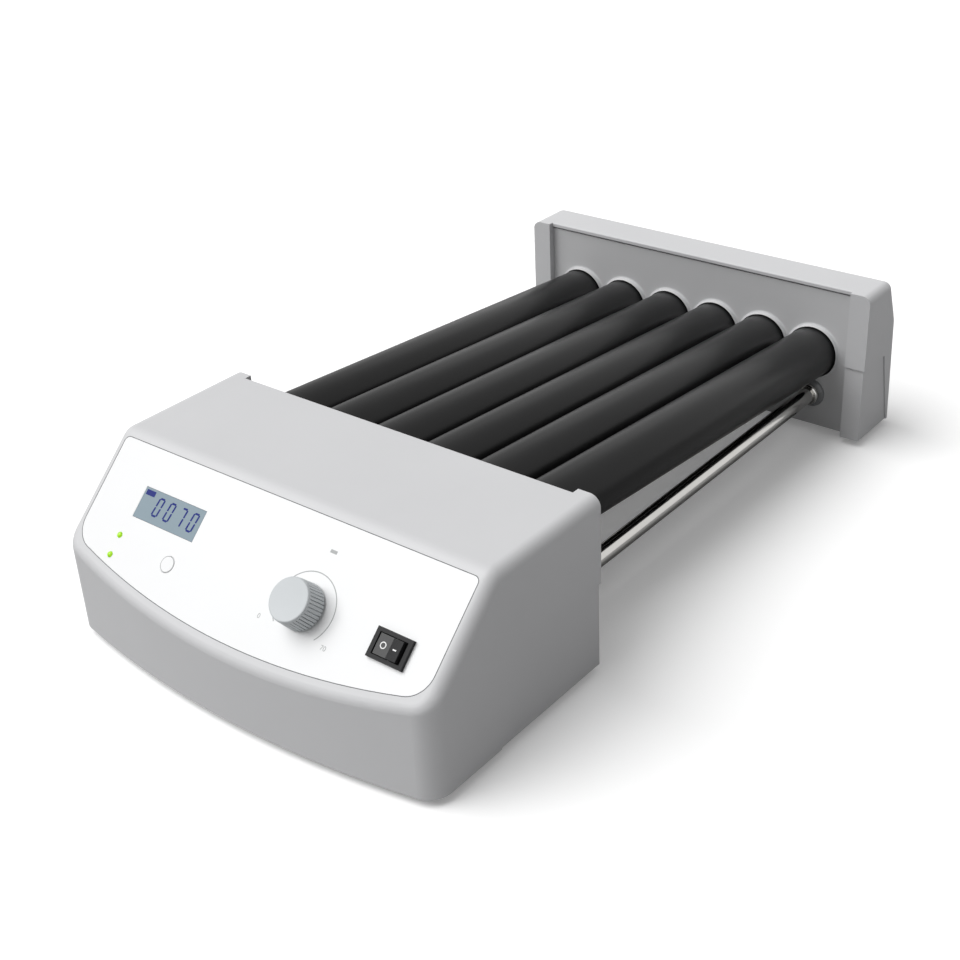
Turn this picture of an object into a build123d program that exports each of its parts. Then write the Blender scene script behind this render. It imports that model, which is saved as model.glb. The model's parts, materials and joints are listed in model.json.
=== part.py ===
from build123d import *
import os
from math import asin, cos, degrees, hypot, radians, sin, sqrt, tan

# A mixer with six rollers side by side, which turn and rock the tubes that lie on them.
# X runs across the rollers, +Y from the control head to the end housing, and +Z up.
# The origin is on the table, under the middle of the mixer. All sizes are in millimetres.

# Overall form
BOTTOM_Z = 4.0
SPAN = 271.0
WALL = 2.5
EDGE_R = 6.0
RUNNING = 0.05
SLIP = 0.15

# Head: a top that breaks into a sloping panel above a bowed front
SLOPE = 43.4
CREASE_BACK = 77.4
SLOPE_DEPTH = 59.6
CREASE_R = 10.0
FRONT_BOW = 13.0
FRONT_CORNER_R = 12.0

# End housing: its back leans out to a soft ridge and then drops to the bottom
END_TOP_DEPTH = 29.5
END_LEAN = 10.0
END_TAPER = 3.5
END_RIDGE_DROP = 26.5
END_RIDGE_R = 9.0
END_CORNER_R = 5.0

# Pillars, lips and the plates between them
PILLAR_W = 12.6
LIP_RECESS = 3.5
PLATE_RECESS = 4.5
PLATE_T = 2.5
PLATE_OVERLAP = 4.0
PLATE_DROP = 1.2
PLATE_LIFT = 1.3
LIP_R = 1.0

# Seam between the covers and the bases
SEAM_DROP = 47.0
SEAM_STEP = 0.8
SEAM_GAP = 0.3
HEAD_SEAM_RUN = 50.4
HEAD_SEAM_FOOT = 79.5
END_SEAM_RUN = 27.0
END_SEAM_FOOT = 37.5
FLOOR_T = 2.5
FLOOR_LIFT = 0.6

# Feet and the screws that close the housings from below
FOOT_R = 8.0
FOOT_INSET = 26.0
COLUMN_R = 3.6
COLUMN_INSET = 6.6
SCREW_R = 1.4
SCREW_HEAD_R = 2.8
SCREW_HEAD_H = 1.8
SCREW_BITE = 12.0

# Rollers, tilted at rest with their head ends up
ROLLERS = 6
ROLLER_R = 15.5
ROLLER_SPACE = 2.8
SIDE_ROOM = 7.9
ROLLER_WALL = 3.0
ROLLER_CHAMFER = 0.8
ROLLER_GAP = 5.0
ROLLER_REACH = 2.75
PLUG_T = 12.0
AXLE_R = 4.0
REST_TILT = 4.5
TOP_TILT = 5.0
HEADROOM = 2.77
FLOOR_ROOM = 1.9

# Ball studs and rims at the end housing
BALL_R = 5.0
NECK_R = 3.0
STUD_COLLAR_R = 5.0
STUD_COLLAR_T = 2.5
BRACKET_BACK = 13.0
BRACKET_T = 3.0
BRACKET_PAST = 19.5
BRACKET_ABOVE = 9.0
BRACKET_FOOT = 12.0
STUD_NUT_AF = 10.0
STUD_NUT_T = 4.0
HOLE_GAP = 0.6
RIM_WALL = 0.65
RIM_OUT = 2.5

# Tie rods between the housings
ROD_R = 5.0
ROD_SHIFT = 0.5
ROD_DROP = 7.0
ROD_END = 6.5
COLLAR_R = 9.0
COLLAR_T = 2.5
RING_R = 6.6
RING_T = 3.0
ROD_NUT_AF = 16.0
ROD_NUT_T = 5.0

# Rocking bar that carries the head ends of the rollers
BAR_BACK = 16.0
BAR_T = 6.0
BAR_PAST = 18.5
BAR_ABOVE = 13.0
BAR_BELOW = 14.0
BAR_CORNER_R = 5.0
BEARING_R = 11.0
BEARING_RACE = 2.4
SLOT_HALF = 5.5

# Belt drive: round belts in double grooved pulleys
BELT_R = 1.5
BELT_GAP = 0.3
PULLEY_PITCH_R = 10.0
PULLEY_R = 11.2
PULLEY_HUB_R = 7.0
GROOVE_1 = 3.5
GROOVE_STEP = 6.0
GROOVE_HALF = 2.5
GROOVE_FLOOR = 1.2
RIM_CHAMFER = 0.6
PULLEY_L = 13.0
PULLEY_START = 1.0
MOTOR_PULLEY_PITCH_R = 7.0
MOTOR_PULLEY_R = 8.2

# Motor that turns the rollers, hung from the rocking bar
MOTOR_DROP = 24.5
MOTOR_R = 14.0
MOTOR_L = 38.0
MOTOR_GEAR_L = 14.0
MOTOR_STEP = 1.0
MOTOR_CAP_L = 2.0
MOTOR_SHAFT_R = 2.5
MOTOR_HUB_R = 4.0
MOTOR_PLATE_GAP = 22.0
MOTOR_PLATE_T = 3.0
MOTOR_PLATE_HALF = 19.0
SPACER_R = 3.5
SPACER_X = 15.0
SPACER_DROP = 18.0

# Lift arm that rocks the bar, and its motor on the floor
YOKE_DROP = 36.0
YOKE_HALF = 13.0
YOKE_BELOW = 9.0
PIN_R = 4.0
PIN_GAP = 0.45
PIN_SLACK_X = 2.5
ARM_SWING = 17.5
ARM_BACK = 46.0
ARM_T = 6.0
ARM_HUB_R = 9.0
ARM_EYE_R = 7.0
PIN_PAST = 5.0
LIFT_SHAFT_R = 4.0
LIFT_MOTOR_R = 17.0
LIFT_MOTOR_L = 42.0
LIFT_GEAR_L = 16.0
LIFT_STEP = 3.0
LIFT_PLATE_GAP = 4.0
LIFT_PLATE_T = 3.0
LIFT_PLATE_HALF = 22.0
LIFT_FOOT = 14.0

# Control panel, measured in from its side edges and up the slope from the bowed front
PANEL_T = 0.7
PANEL_MARGIN = 5.9
PANEL_TOP = 3.9
PANEL_CORNER_R = 14.0
PANEL_TOP_R = 3.0
DISPLAY_IN = 50.6
DISPLAY_GAP = 9.6
DISPLAY_W = 43.0
DISPLAY_H = 16.2
DISPLAY_FRAME = 3.5
LED_IN = 27.1
LED_UP = 31.0
LED_STEP = 10.6
LED_R = 1.5
LED_OUT = 0.3
BUTTON_IN = 64.4
BUTTON_UP = 27.7
BUTTON_R = 4.2
BUTTON_OUT = 0.8
BUTTON_FLANGE = 1.2
BUTTON_TRAVEL = 0.5
KEY_W = 6.0
STEM_R = 1.5
STEM_L = 1.6
KNOB_IN = 78.3
KNOB_UP = 36.1
KNOB_R = 11.5
KNOB_H = 12.0
KNOB_TRAVEL = 0.6
KNOB_CLEAR = 0.4
KNOB_EDGE_R = 0.9
KNOB_FLUTES = 36
KNOB_FLUTE_W = 0.6
KNOB_FLUTE_STOP = 1.5
KNOB_BORE_DEPTH = 9.0
KNOB_SHAFT_R = 3.0
ENCODER_W = 13.0
ENCODER_BUSH = 1.5
PLUNGER_L = 1.0
PLUNGER_CLEAR = 0.2
SWITCH_IN = 25.8
SWITCH_UP = 35.3
SWITCH_W = 20.2
SWITCH_H = 14.2
SWITCH_RIM = 1.8
SWITCH_LIP = 0.8
SWITCH_BODY = 14.0
ROCKER_W = 14.4
ROCKER_H = 9.6
ROCKER_TILT = 8.0
ROCKER_PIVOT = 2.0
ROCKER_GAP = 0.8
ROCKER_OUT = 2.2
ROCKER_DISH = 1.2
ROCKER_SKIRT = 0.8
ROCKER_KEEL = 4.6
ROCKER_KEEL_HALF = 3.0
TRUNNION_R = 1.2
TRUNNION_OUT = 0.7

# Board behind the panel
BOARD_DEPTH = 8.5
BOARD_T = 1.6
BOARD_IN = 16.6
BOARD_STOP = 4.7
BOARD_UP = 14.0
BOARD_H = 47.0
POST_R = 3.2
POST_INSET = 4.0

# Low voltage inlet in the left cheek of the head
JACK_BACK = 24.0
JACK_Z = 27.0
JACK_R = 5.4
JACK_FLANGE_R = 7.0
JACK_FLANGE_T = 0.7
JACK_L = 14.0
JACK_BORE_R = 2.8
JACK_BORE_L = 10.0
JACK_PIN_R = 1.0
JACK_PIN_IN = 1.0

# Places worked out from the sizes above
HEAD_DEPTH = CREASE_BACK + SLOPE_DEPTH
END_RIDGE_DEPTH = END_TOP_DEPTH + END_LEAN
END_DEPTH = END_RIDGE_DEPTH + END_TAPER
FRONT_Y = -(HEAD_DEPTH + SPAN + END_DEPTH) / 2
HEAD_Y = FRONT_Y + HEAD_DEPTH
END_Y = HEAD_Y + SPAN
CREASE_Y = HEAD_Y - CREASE_BACK
PIVOT_Y = END_Y + PLATE_RECESS + PLATE_T / 2
BAR_Y = HEAD_Y - BAR_BACK
PITCH = 2 * ROLLER_R + ROLLER_SPACE
ROLLER_X = [(i - (ROLLERS - 1) / 2) * PITCH for i in range(ROLLERS)]
OPENING_HALF = ROLLER_X[-1] + ROLLER_R + SIDE_ROOM
WIDTH = 2 * (OPENING_HALF + PILLAR_W)
BAR_HALF = ROLLER_X[-1] + BAR_PAST
BRACKET_HALF = ROLLER_X[-1] + BRACKET_PAST
HOLE_R = ROLLER_R + HOLE_GAP
RIM_R = HOLE_R + RIM_WALL
FLOOR_Z = BOTTOM_Z + FLOOR_LIFT
FLOOR_TOP = FLOOR_Z + FLOOR_T
YOKE_REACH = PIVOT_Y - (BAR_Y - BAR_T / 2)
PIVOT_Z = FLOOR_TOP + FLOOR_ROOM + YOKE_BELOW + YOKE_DROP
TOP_RAD = radians(TOP_TILT)
BAR_TOP_Z = PIVOT_Z + YOKE_REACH * sin(TOP_RAD) + BAR_ABOVE * cos(TOP_RAD)
TOP_Z = BAR_TOP_Z + HEADROOM + WALL
END_RIDGE_Z = TOP_Z - END_RIDGE_DROP
SEAM_Z = TOP_Z - SEAM_DROP
ROD_X = ROLLER_X[-1] + ROD_SHIFT
ROD_Z = PIVOT_Z - ROLLER_R - ROD_DROP - ROD_R
SLOPE_RAD = radians(SLOPE)
SLOPE_L = SLOPE_DEPTH / cos(SLOPE_RAD)
PANEL_HALF = WIDTH / 2 - PANEL_MARGIN
DISPLAY_X = DISPLAY_IN - PANEL_HALF
LED_X = LED_IN - PANEL_HALF
LED_DOWN = SLOPE_L - LED_UP
DISPLAY_DOWN = LED_DOWN - LED_R - DISPLAY_GAP - DISPLAY_H / 2
BUTTON_X = BUTTON_IN - PANEL_HALF
BUTTON_DOWN = SLOPE_L - BUTTON_UP
KNOB_X = PANEL_HALF - KNOB_IN
KNOB_DOWN = SLOPE_L - KNOB_UP
SWITCH_X = PANEL_HALF - SWITCH_IN
SWITCH_DOWN = SLOPE_L - SWITCH_UP
BOARD_X0 = BOARD_IN - PANEL_HALF
BOARD_X1 = SWITCH_X - SWITCH_W / 2 - BOARD_STOP
BOARD_LOW = SLOPE_L - BOARD_UP
BOARD_TOP = BOARD_LOW - BOARD_H
STEM_END = -WALL - RUNNING - BUTTON_FLANGE - STEM_L
KNOB_GAP = KNOB_TRAVEL + KNOB_CLEAR
PLUNGER_UP = KNOB_TRAVEL + PLUNGER_CLEAR
SHAFT_END = -BOARD_DEPTH + PLUNGER_UP + PLUNGER_L + RUNNING
PANEL = Plane(
    origin=(0, CREASE_Y, TOP_Z),
    x_dir=(1, 0, 0),
    z_dir=(0, -sin(SLOPE_RAD), cos(SLOPE_RAD)),
)

# Lift arm geometry: the arm's swing gives the yoke its full travel
YOKE_LOW_Z = PIVOT_Z - YOKE_DROP
YOKE_HIGH_Z = PIVOT_Z + YOKE_REACH * sin(TOP_RAD) - YOKE_DROP * cos(TOP_RAD)
YOKE_REST_Z = PIVOT_Z + YOKE_REACH * sin(radians(REST_TILT)) - YOKE_DROP * cos(radians(REST_TILT))
ARM_LENGTH = (YOKE_HIGH_Z - YOKE_LOW_Z) / (2 * sin(radians(ARM_SWING)))
ARM_AXIS_Z = (YOKE_HIGH_Z + YOKE_LOW_Z) / 2
ARM_AXIS_X = ARM_LENGTH * (1 + cos(radians(ARM_SWING))) / 2
ARM_REST = degrees(asin((YOKE_REST_Z - ARM_AXIS_Z) / ARM_LENGTH))
ARM_Y = HEAD_Y - ARM_BACK


def block(x0, x1, y0, y1, z0, z1):
    """A box given by its limits."""
    centre = Pos((x0 + x1) / 2, (y0 + y1) / 2, (z0 + z1) / 2)
    return centre * Box(x1 - x0, y1 - y0, z1 - z0)


def disc_y(x, z, radius, y0, y1):
    """A round bar along Y from y0 to y1."""
    return Pos(x, (y0 + y1) / 2, z) * Rot(90, 0, 0) * Cylinder(radius, y1 - y0)


def disc_z(x, y, radius, z0, z1):
    """A round bar along Z from z0 to z1."""
    return Pos(x, y, (z0 + z1) / 2) * Cylinder(radius, z1 - z0)


def hex_y(x, z, across_flats, y0, y1):
    """A hexagon bar along Y from y0 to y1."""
    flat = RegularPolygon(across_flats / sqrt(3), 6)
    return Pos(x, y1, z) * Rot(90, 0, 0) * extrude(flat, amount=y1 - y0)


def panel_disc(x, down, radius, z0, z1):
    """A round bar square to the panel, at heights z0 to z1 above its face."""
    return PANEL * Pos(x, -down, (z0 + z1) / 2) * Cylinder(radius, z1 - z0)


def panel_block(x, down, width, height, z0, z1):
    """A box square to the panel, at heights z0 to z1 above its face."""
    return PANEL * Pos(x, -down, (z0 + z1) / 2) * Box(width, height, z1 - z0)


def turned(points):
    """A solid turned about Y from a half outline of (radius, y) points."""
    outline = make_face(Polyline([(r, y) for r, y in points], close=True))
    return revolve(outline, Axis.Y)


def inset_outline(points, insets):
    """A closed anticlockwise outline, each side moved inwards by its own inset."""
    lines = []
    for i, inset in enumerate(insets):
        x0, y0 = points[i]
        x1, y1 = points[(i + 1) % len(points)]
        length = hypot(x1 - x0, y1 - y0)
        nx = (y0 - y1) / length
        ny = (x1 - x0) / length
        lines.append((nx, ny, nx * x0 + ny * y0 + inset))
    moved = []
    for i in range(len(lines)):
        a, b, c = lines[i - 1]
        d, e, f = lines[i]
        det = a * e - b * d
        moved.append(((c * e - b * f) / det, (a * f - c * d) / det))
    return moved


def side_slab(outline, rounds):
    """An outline in Y and Z, with rounded corners, as a slab wider than the mixer."""
    face = make_face(Polyline(outline, close=True))
    for corner, radius in rounds:
        nearest = face.vertices().sort_by_distance((corner[0], corner[1], 0))[0]
        face = fillet(nearest, radius)
    return extrude(Plane.YZ * face, amount=WIDTH, both=True)


def bow_y(x, inset):
    """The bowed front's place at x, moved inwards by inset."""
    half = WIDTH / 2
    radius = (half ** 2 + FRONT_BOW ** 2) / (2 * FRONT_BOW)
    return FRONT_Y + radius - sqrt((radius - inset) ** 2 - x ** 2)


def head_body(inset, back_inset, bottom):
    """The head's outer form with its faces moved inwards."""
    far = FRONT_Y - WALL
    slope_foot = TOP_Z - (CREASE_Y - far) * tan(SLOPE_RAD)
    points = [(far, bottom), (HEAD_Y, bottom), (HEAD_Y, TOP_Z), (CREASE_Y, TOP_Z), (far, slope_foot)]
    outline = inset_outline(points, [0, back_inset, inset, inset, 0])
    slab = side_slab(outline, [(outline[3], CREASE_R - inset)])
    half = WIDTH / 2 - inset
    back = HEAD_Y - back_inset
    corner = bow_y(half, inset)
    plan = make_face([
        Line((-half, back), (half, back)),
        Line((half, back), (half, corner)),
        ThreePointArc((half, corner), (0, bow_y(0, inset)), (-half, corner)),
        Line((-half, corner), (-half, back)),
    ])
    plan = fillet(plan.vertices().group_by(Axis.Y)[0], FRONT_CORNER_R - inset)
    body = slab & extrude(Pos(0, 0, bottom) * plan, amount=TOP_Z)
    rim = [
        edge for edge in body.edges().filter_by(Axis.X, reverse=True).filter_by(Axis.Z, reverse=True)
        if edge.center().Z > bottom + 1 and edge.center().Y < back - 1
    ]
    return fillet(rim, EDGE_R - inset)


def end_body(inset, front_inset, bottom):
    """The end housing's outer form with its faces moved inwards."""
    points = [
        (END_Y, bottom), (END_Y + END_DEPTH, bottom), (END_Y + END_RIDGE_DEPTH, END_RIDGE_Z),
        (END_Y + END_TOP_DEPTH, TOP_Z), (END_Y, TOP_Z),
    ]
    outline = inset_outline(points, [0, inset, inset, inset, front_inset])
    rounds = [(outline[2], END_RIDGE_R - inset), (outline[3], END_CORNER_R - inset)]
    half = WIDTH / 2 - inset
    body = side_slab(outline, rounds) & block(-half, half, END_Y - 1, END_Y + END_DEPTH + 1, bottom, TOP_Z)
    rim = [
        edge for edge in body.edges().filter_by(Axis.X, reverse=True)
        if edge.center().Z > bottom + 1 and edge.center().Y > END_Y + front_inset + 1
    ]
    return fillet(rim, END_CORNER_R - inset)


def seam_prism(face_y, direction, run, foot, gap):
    """The base's side of the seam: low, and next to the rollers."""
    edge = face_y - direction
    points = [
        (edge, BOTTOM_Z - 1), (edge, SEAM_Z - gap),
        (face_y + direction * (run - gap), SEAM_Z - gap),
        (face_y + direction * (foot - gap), BOTTOM_Z - 1),
    ]
    face = make_face(Polyline(points, close=True))
    return extrude(Plane.YZ * face, amount=WIDTH, both=True)


def plate_gap(face_y, direction):
    """The space between a housing's pillars, open to the rollers, with the lip above it."""
    low = BOTTOM_Z - 1
    lip = sorted([face_y - direction, face_y + direction * LIP_RECESS])
    full = block(-OPENING_HALF, OPENING_HALF, lip[0], lip[1], low, TOP_Z + 1)
    wall = sorted([face_y - direction, face_y + direction * (PLATE_RECESS + 1)])
    under = block(-OPENING_HALF, OPENING_HALF, wall[0], wall[1], low, TOP_Z - WALL)
    return full + under


def lip_edge(cover, face_y, direction):
    """The long top edge of the lip, rounded over."""
    y = face_y + direction * LIP_RECESS
    edge = cover.edges().filter_by(Axis.X).sort_by_distance((0, y, TOP_Z))[0]
    return fillet(edge, LIP_R)


HEAD_COLUMNS = [
    (side * (WIDTH / 2 - COLUMN_INSET), y)
    for side in (-1, 1)
    for y in (HEAD_Y - PLATE_RECESS - PLATE_T - COLUMN_R - 1, CREASE_Y + COLUMN_R)
]
END_COLUMNS = [
    (side * (WIDTH / 2 - COLUMN_INSET), y)
    for side in (-1, 1)
    for y in (END_Y + PLATE_RECESS + PLATE_T + COLUMN_R + 1, END_Y + END_TOP_DEPTH - COLUMN_R)
]
FEET = [
    (side * (WIDTH / 2 - FOOT_INSET), y)
    for side in (-1, 1)
    for y in (FRONT_Y + FRONT_BOW + FOOT_INSET, HEAD_Y - FOOT_INSET, END_Y + END_DEPTH / 2)
]


def columns(places):
    """Screw columns that hang from a cover's top down to the floor."""
    result = Part()
    for x, y in places:
        result += disc_z(x, y, COLUMN_R, FLOOR_TOP, TOP_Z - WALL / 2)
        result -= disc_z(x, y, SCREW_R + RUNNING, FLOOR_TOP - 1, FLOOR_TOP + SCREW_BITE)
    return result


def panel_outline(grow):
    """The white panel's outline on the slope, grown all round by grow."""
    half = PANEL_HALF + grow
    top = -(PANEL_TOP - grow)
    middle = -(SLOPE_L - PANEL_MARGIN + grow)
    corner = -((CREASE_Y - bow_y(half, 0)) / cos(SLOPE_RAD) - PANEL_MARGIN + grow)
    face = make_face([
        Line((-half, top), (half, top)),
        Line((half, top), (half, corner)),
        ThreePointArc((half, corner), (0, middle), (-half, corner)),
        Line((-half, corner), (-half, top)),
    ])
    face = fillet(face.vertices().group_by(Axis.Y)[-1], PANEL_TOP_R)
    return fillet(face.vertices().group_by(Axis.Y)[0], PANEL_CORNER_R)


def panel_holes(grow):
    """The holes for the keys, lights, knob and switch, square to the panel."""
    low = -(WALL + 1)
    holes = panel_disc(BUTTON_X, BUTTON_DOWN, BUTTON_R + SLIP, low, 1)
    for step in range(2):
        holes += panel_disc(LED_X, LED_DOWN + step * LED_STEP, LED_R + SLIP, low, 1)
    holes += panel_disc(KNOB_X, KNOB_DOWN, KNOB_SHAFT_R + ENCODER_BUSH + SLIP, low, 1)
    body_w = SWITCH_W - 2 * SWITCH_LIP + 2 * SLIP
    body_h = SWITCH_H - 2 * SWITCH_LIP + 2 * SLIP
    holes += panel_block(SWITCH_X, SWITCH_DOWN, body_w, body_h, low, 1)
    width = DISPLAY_W + 2 * SLIP + 2 * grow
    height = DISPLAY_H + 2 * SLIP + 2 * grow
    holes += panel_block(DISPLAY_X, DISPLAY_DOWN, width, height, low, 1)
    return holes


BOARD_POSTS = [
    (x, down)
    for x in (BOARD_X0 + POST_INSET, BOARD_X1 - POST_INSET)
    for down in (BOARD_TOP + POST_INSET, BOARD_LOW - POST_INSET)
]


def make_head_cover():
    """Moulded shell with the sloping panel, the bowed front and the rear pillars."""
    cover = head_body(0, 0, BOTTOM_Z) - head_body(WALL, PLATE_RECESS, BOTTOM_Z - 1)
    cover += columns(HEAD_COLUMNS) & head_body(WALL / 2, PLATE_RECESS, BOTTOM_Z - 1)
    cover -= plate_gap(HEAD_Y, -1)
    cover -= seam_prism(HEAD_Y, -1, HEAD_SEAM_RUN, HEAD_SEAM_FOOT, 0)
    for x, down in BOARD_POSTS:
        cover += panel_disc(x, down, POST_R, -BOARD_DEPTH, -WALL / 2)
        cover -= panel_disc(x, down, SCREW_R + RUNNING, -BOARD_DEPTH - 1, -WALL)
    cover -= PANEL * Pos(0, 0, -PANEL_T) * extrude(panel_outline(SLIP), amount=1)
    cover -= panel_holes(1.0)
    return lip_edge(cover, HEAD_Y, -1)


def floor_plate(body, openings):
    """A floor inside a housing's skirt, with holes for the closing screws."""
    plate = body & block(-WIDTH, WIDTH, FRONT_Y - 1, END_Y + END_DEPTH + 1, FLOOR_Z, FLOOR_TOP)
    for x, y in openings:
        plate -= disc_z(x, y, SCREW_R + SLIP, FLOOR_Z - 1, FLOOR_TOP + 1)
    return plate


def make_head_base():
    """Floor and the two low cheeks with the lower halves of the pillars."""
    back = PLATE_RECESS + PLATE_T + SLIP
    cheeks = head_body(SEAM_STEP, SEAM_STEP, BOTTOM_Z)
    cheeks -= head_body(SEAM_STEP + WALL, PLATE_RECESS, BOTTOM_Z - 1)
    cheeks &= seam_prism(HEAD_Y, -1, HEAD_SEAM_RUN, HEAD_SEAM_FOOT, SEAM_GAP)
    cheeks -= plate_gap(HEAD_Y, -1)
    base = cheeks + floor_plate(head_body(WALL + SLIP, back, BOTTOM_Z - 1), HEAD_COLUMNS)
    for x, y in HEAD_COLUMNS:
        base -= disc_z(x, y, COLUMN_R + SLIP, FLOOR_TOP, TOP_Z)
    jack_y = HEAD_Y - JACK_BACK
    hole = Pos(-WIDTH / 2, jack_y, JACK_Z) * Rot(0, 90, 0) * Cylinder(JACK_R + SLIP, 4 * WALL)
    return base - hole


def make_end_cover():
    """Moulded shell of the end housing, with its pillars facing the rollers."""
    cover = end_body(0, 0, BOTTOM_Z) - end_body(WALL, PLATE_RECESS, BOTTOM_Z - 1)
    cover += columns(END_COLUMNS) & end_body(WALL / 2, PLATE_RECESS, BOTTOM_Z - 1)
    cover -= plate_gap(END_Y, 1)
    cover -= seam_prism(END_Y, 1, END_SEAM_RUN, END_SEAM_FOOT, 0)
    return lip_edge(cover, END_Y, 1)


def make_end_base():
    """Floor and cheeks of the end housing."""
    front = PLATE_RECESS + PLATE_T + SLIP
    cheeks = end_body(SEAM_STEP, SEAM_STEP, BOTTOM_Z)
    cheeks -= end_body(SEAM_STEP + WALL, PLATE_RECESS, BOTTOM_Z - 1)
    cheeks &= seam_prism(END_Y, 1, END_SEAM_RUN, END_SEAM_FOOT, SEAM_GAP)
    cheeks -= plate_gap(END_Y, 1)
    base = cheeks + floor_plate(end_body(WALL + SLIP, front, BOTTOM_Z - 1), END_COLUMNS)
    for x, y in END_COLUMNS:
        base -= disc_z(x, y, COLUMN_R + SLIP, FLOOR_TOP, TOP_Z)
    return base


def plate_blank(face_y, direction):
    """A plate behind the pillars, from just above the table side to just under the lip."""
    half = OPENING_HALF + PLATE_OVERLAP
    y = sorted([face_y + direction * PLATE_RECESS, face_y + direction * (PLATE_RECESS + PLATE_T)])
    plate = block(-half, half, y[0], y[1], BOTTOM_Z + PLATE_LIFT, TOP_Z - WALL - PLATE_DROP)
    for side in (-1, 1):
        plate -= disc_y(side * ROD_X, ROD_Z, ROD_R + RUNNING, y[0] - 1, y[1] + 1)
    return plate


def make_head_plate():
    """Plate behind the head's pillars, with a tall slot for each roller axle."""
    plate = plate_blank(HEAD_Y, -1)
    y0 = HEAD_Y - PLATE_RECESS - PLATE_T
    low = PIVOT_Z
    high = PIVOT_Z + (PIVOT_Y - y0) * tan(radians(TOP_TILT))
    for x in ROLLER_X:
        slot = block(x - SLOT_HALF, x + SLOT_HALF, y0 - 1, y0 + PLATE_T + 1, low, high)
        slot += disc_y(x, low, SLOT_HALF, y0 - 1, y0 + PLATE_T + 1)
        slot += disc_y(x, high, SLOT_HALF, y0 - 1, y0 + PLATE_T + 1)
        plate -= slot
    return plate


def make_end_plate():
    """Plate behind the end housing's pillars, with a round hole for each roller."""
    plate = plate_blank(END_Y, 1)
    for x in ROLLER_X:
        plate -= disc_y(x, PIVOT_Z, HOLE_R, END_Y, END_Y + PLATE_RECESS + PLATE_T + 1)
    return plate


def make_roller_rims():
    """Moulded rims around the holes of the end plate."""
    rims = Part()
    front = END_Y + PLATE_RECESS - RIM_OUT
    for x in ROLLER_X:
        ring = disc_y(x, PIVOT_Z, RIM_R, front, front + RIM_OUT)
        ring -= disc_y(x, PIVOT_Z, HOLE_R, front - 1, front + RIM_OUT + 1)
        rims += ring
    return rims


def tilted(part):
    """Turn a piece from level to the rest pose, about the ball studs."""
    return part.rotate(Axis((0, PIVOT_Y, PIVOT_Z), (1, 0, 0)), -REST_TILT)


ROLLER_Y0 = HEAD_Y - PLATE_RECESS + ROLLER_GAP
ROLLER_Y1 = PIVOT_Y + ROLLER_REACH


def make_roller(x):
    """Black roller tube."""
    tube = disc_y(x, PIVOT_Z, ROLLER_R, ROLLER_Y0, ROLLER_Y1)
    tube = chamfer(tube.edges().filter_by(GeomType.CIRCLE), ROLLER_CHAMFER)
    tube -= disc_y(x, PIVOT_Z, ROLLER_R - ROLLER_WALL, ROLLER_Y0 - 1, ROLLER_Y1 + 1)
    return tilted(tube)


def make_axle(x):
    """Steel axle with its two end plugs; the far plug is bored for the ball stud."""
    plug_r = ROLLER_R - ROLLER_WALL - RUNNING
    tail = BAR_Y - BAR_T - PULLEY_START - PULLEY_L - 1
    points = [
        (0, tail), (AXLE_R, tail), (AXLE_R, ROLLER_Y0), (plug_r, ROLLER_Y0),
        (plug_r, ROLLER_Y0 + PLUG_T), (AXLE_R, ROLLER_Y0 + PLUG_T),
        (AXLE_R, ROLLER_Y1 - 2 * PLUG_T), (plug_r, ROLLER_Y1 - 2 * PLUG_T), (plug_r, ROLLER_Y1),
        (BALL_R + RUNNING, ROLLER_Y1), (BALL_R + RUNNING, ROLLER_Y1 - PLUG_T), (0, ROLLER_Y1 - PLUG_T),
    ]
    return tilted(Pos(x, 0, PIVOT_Z) * turned(points))


def groove_line(index):
    """Middle of a belt groove along Y, at level."""
    return BAR_Y - BAR_T - PULLEY_START - GROOVE_1 - index * GROOVE_STEP


def grooved(radius, pitch_r, hub_r, bore_r, y0, y1, grooves):
    """A pulley about the Y axis, with a flared groove for each round belt."""
    floor_r = pitch_r - BELT_R - BELT_GAP
    points = [(bore_r, y0), (hub_r, y0), (radius, y0 + RIM_CHAMFER)]
    for y in sorted(grooves):
        points += [(radius, y - GROOVE_HALF), (floor_r, y - GROOVE_FLOOR)]
        points += [(floor_r, y + GROOVE_FLOOR), (radius, y + GROOVE_HALF)]
    points += [(radius, y1 - RIM_CHAMFER), (hub_r, y1), (bore_r, y1)]
    return turned(points)


def make_pulley(x):
    """Double grooved pulley on the head end of an axle."""
    y1 = BAR_Y - BAR_T - PULLEY_START
    grooves = [groove_line(0), groove_line(1)]
    bore = AXLE_R + RUNNING
    pulley = grooved(PULLEY_R, PULLEY_PITCH_R, PULLEY_HUB_R, bore, y1 - PULLEY_L, y1, grooves)
    return tilted(Pos(x, 0, PIVOT_Z) * pulley)


def make_belt(x0, z0, r0, x1, z1, r1, y):
    """Round belt around two pulleys, drawn in the X and Z of the pulleys."""
    gap = hypot(x1 - x0, z1 - z0)
    ux, uz = (x1 - x0) / gap, (z1 - z0) / gap
    lean = (r0 - r1) / gap
    across = sqrt(1 - lean ** 2)
    ends = []
    for side in (1, -1):
        nx = lean * ux - side * across * uz
        nz = lean * uz + side * across * ux
        ends.append(((x0 + r0 * nx, z0 + r0 * nz), (x1 + r1 * nx, z1 + r1 * nz)))
    (a0, a1), (b0, b1) = ends
    path = Wire([
        Line(a0, a1).edge(),
        ThreePointArc(a1, (x1 + r1 * ux, z1 + r1 * uz), b1).edge(),
        Line(b1, b0).edge(),
        ThreePointArc(b0, (x0 - r0 * ux, z0 - r0 * uz), a0).edge(),
    ])
    start = Plane(origin=(a0[0], a0[1], 0), z_dir=(a1[0] - a0[0], a1[1] - a0[1], 0))
    flat = sweep(start * RegularPolygon(BELT_R, 8), path=path)
    return Pos(0, y, PIVOT_Z) * Rot(90, 0, 0) * flat


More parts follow.
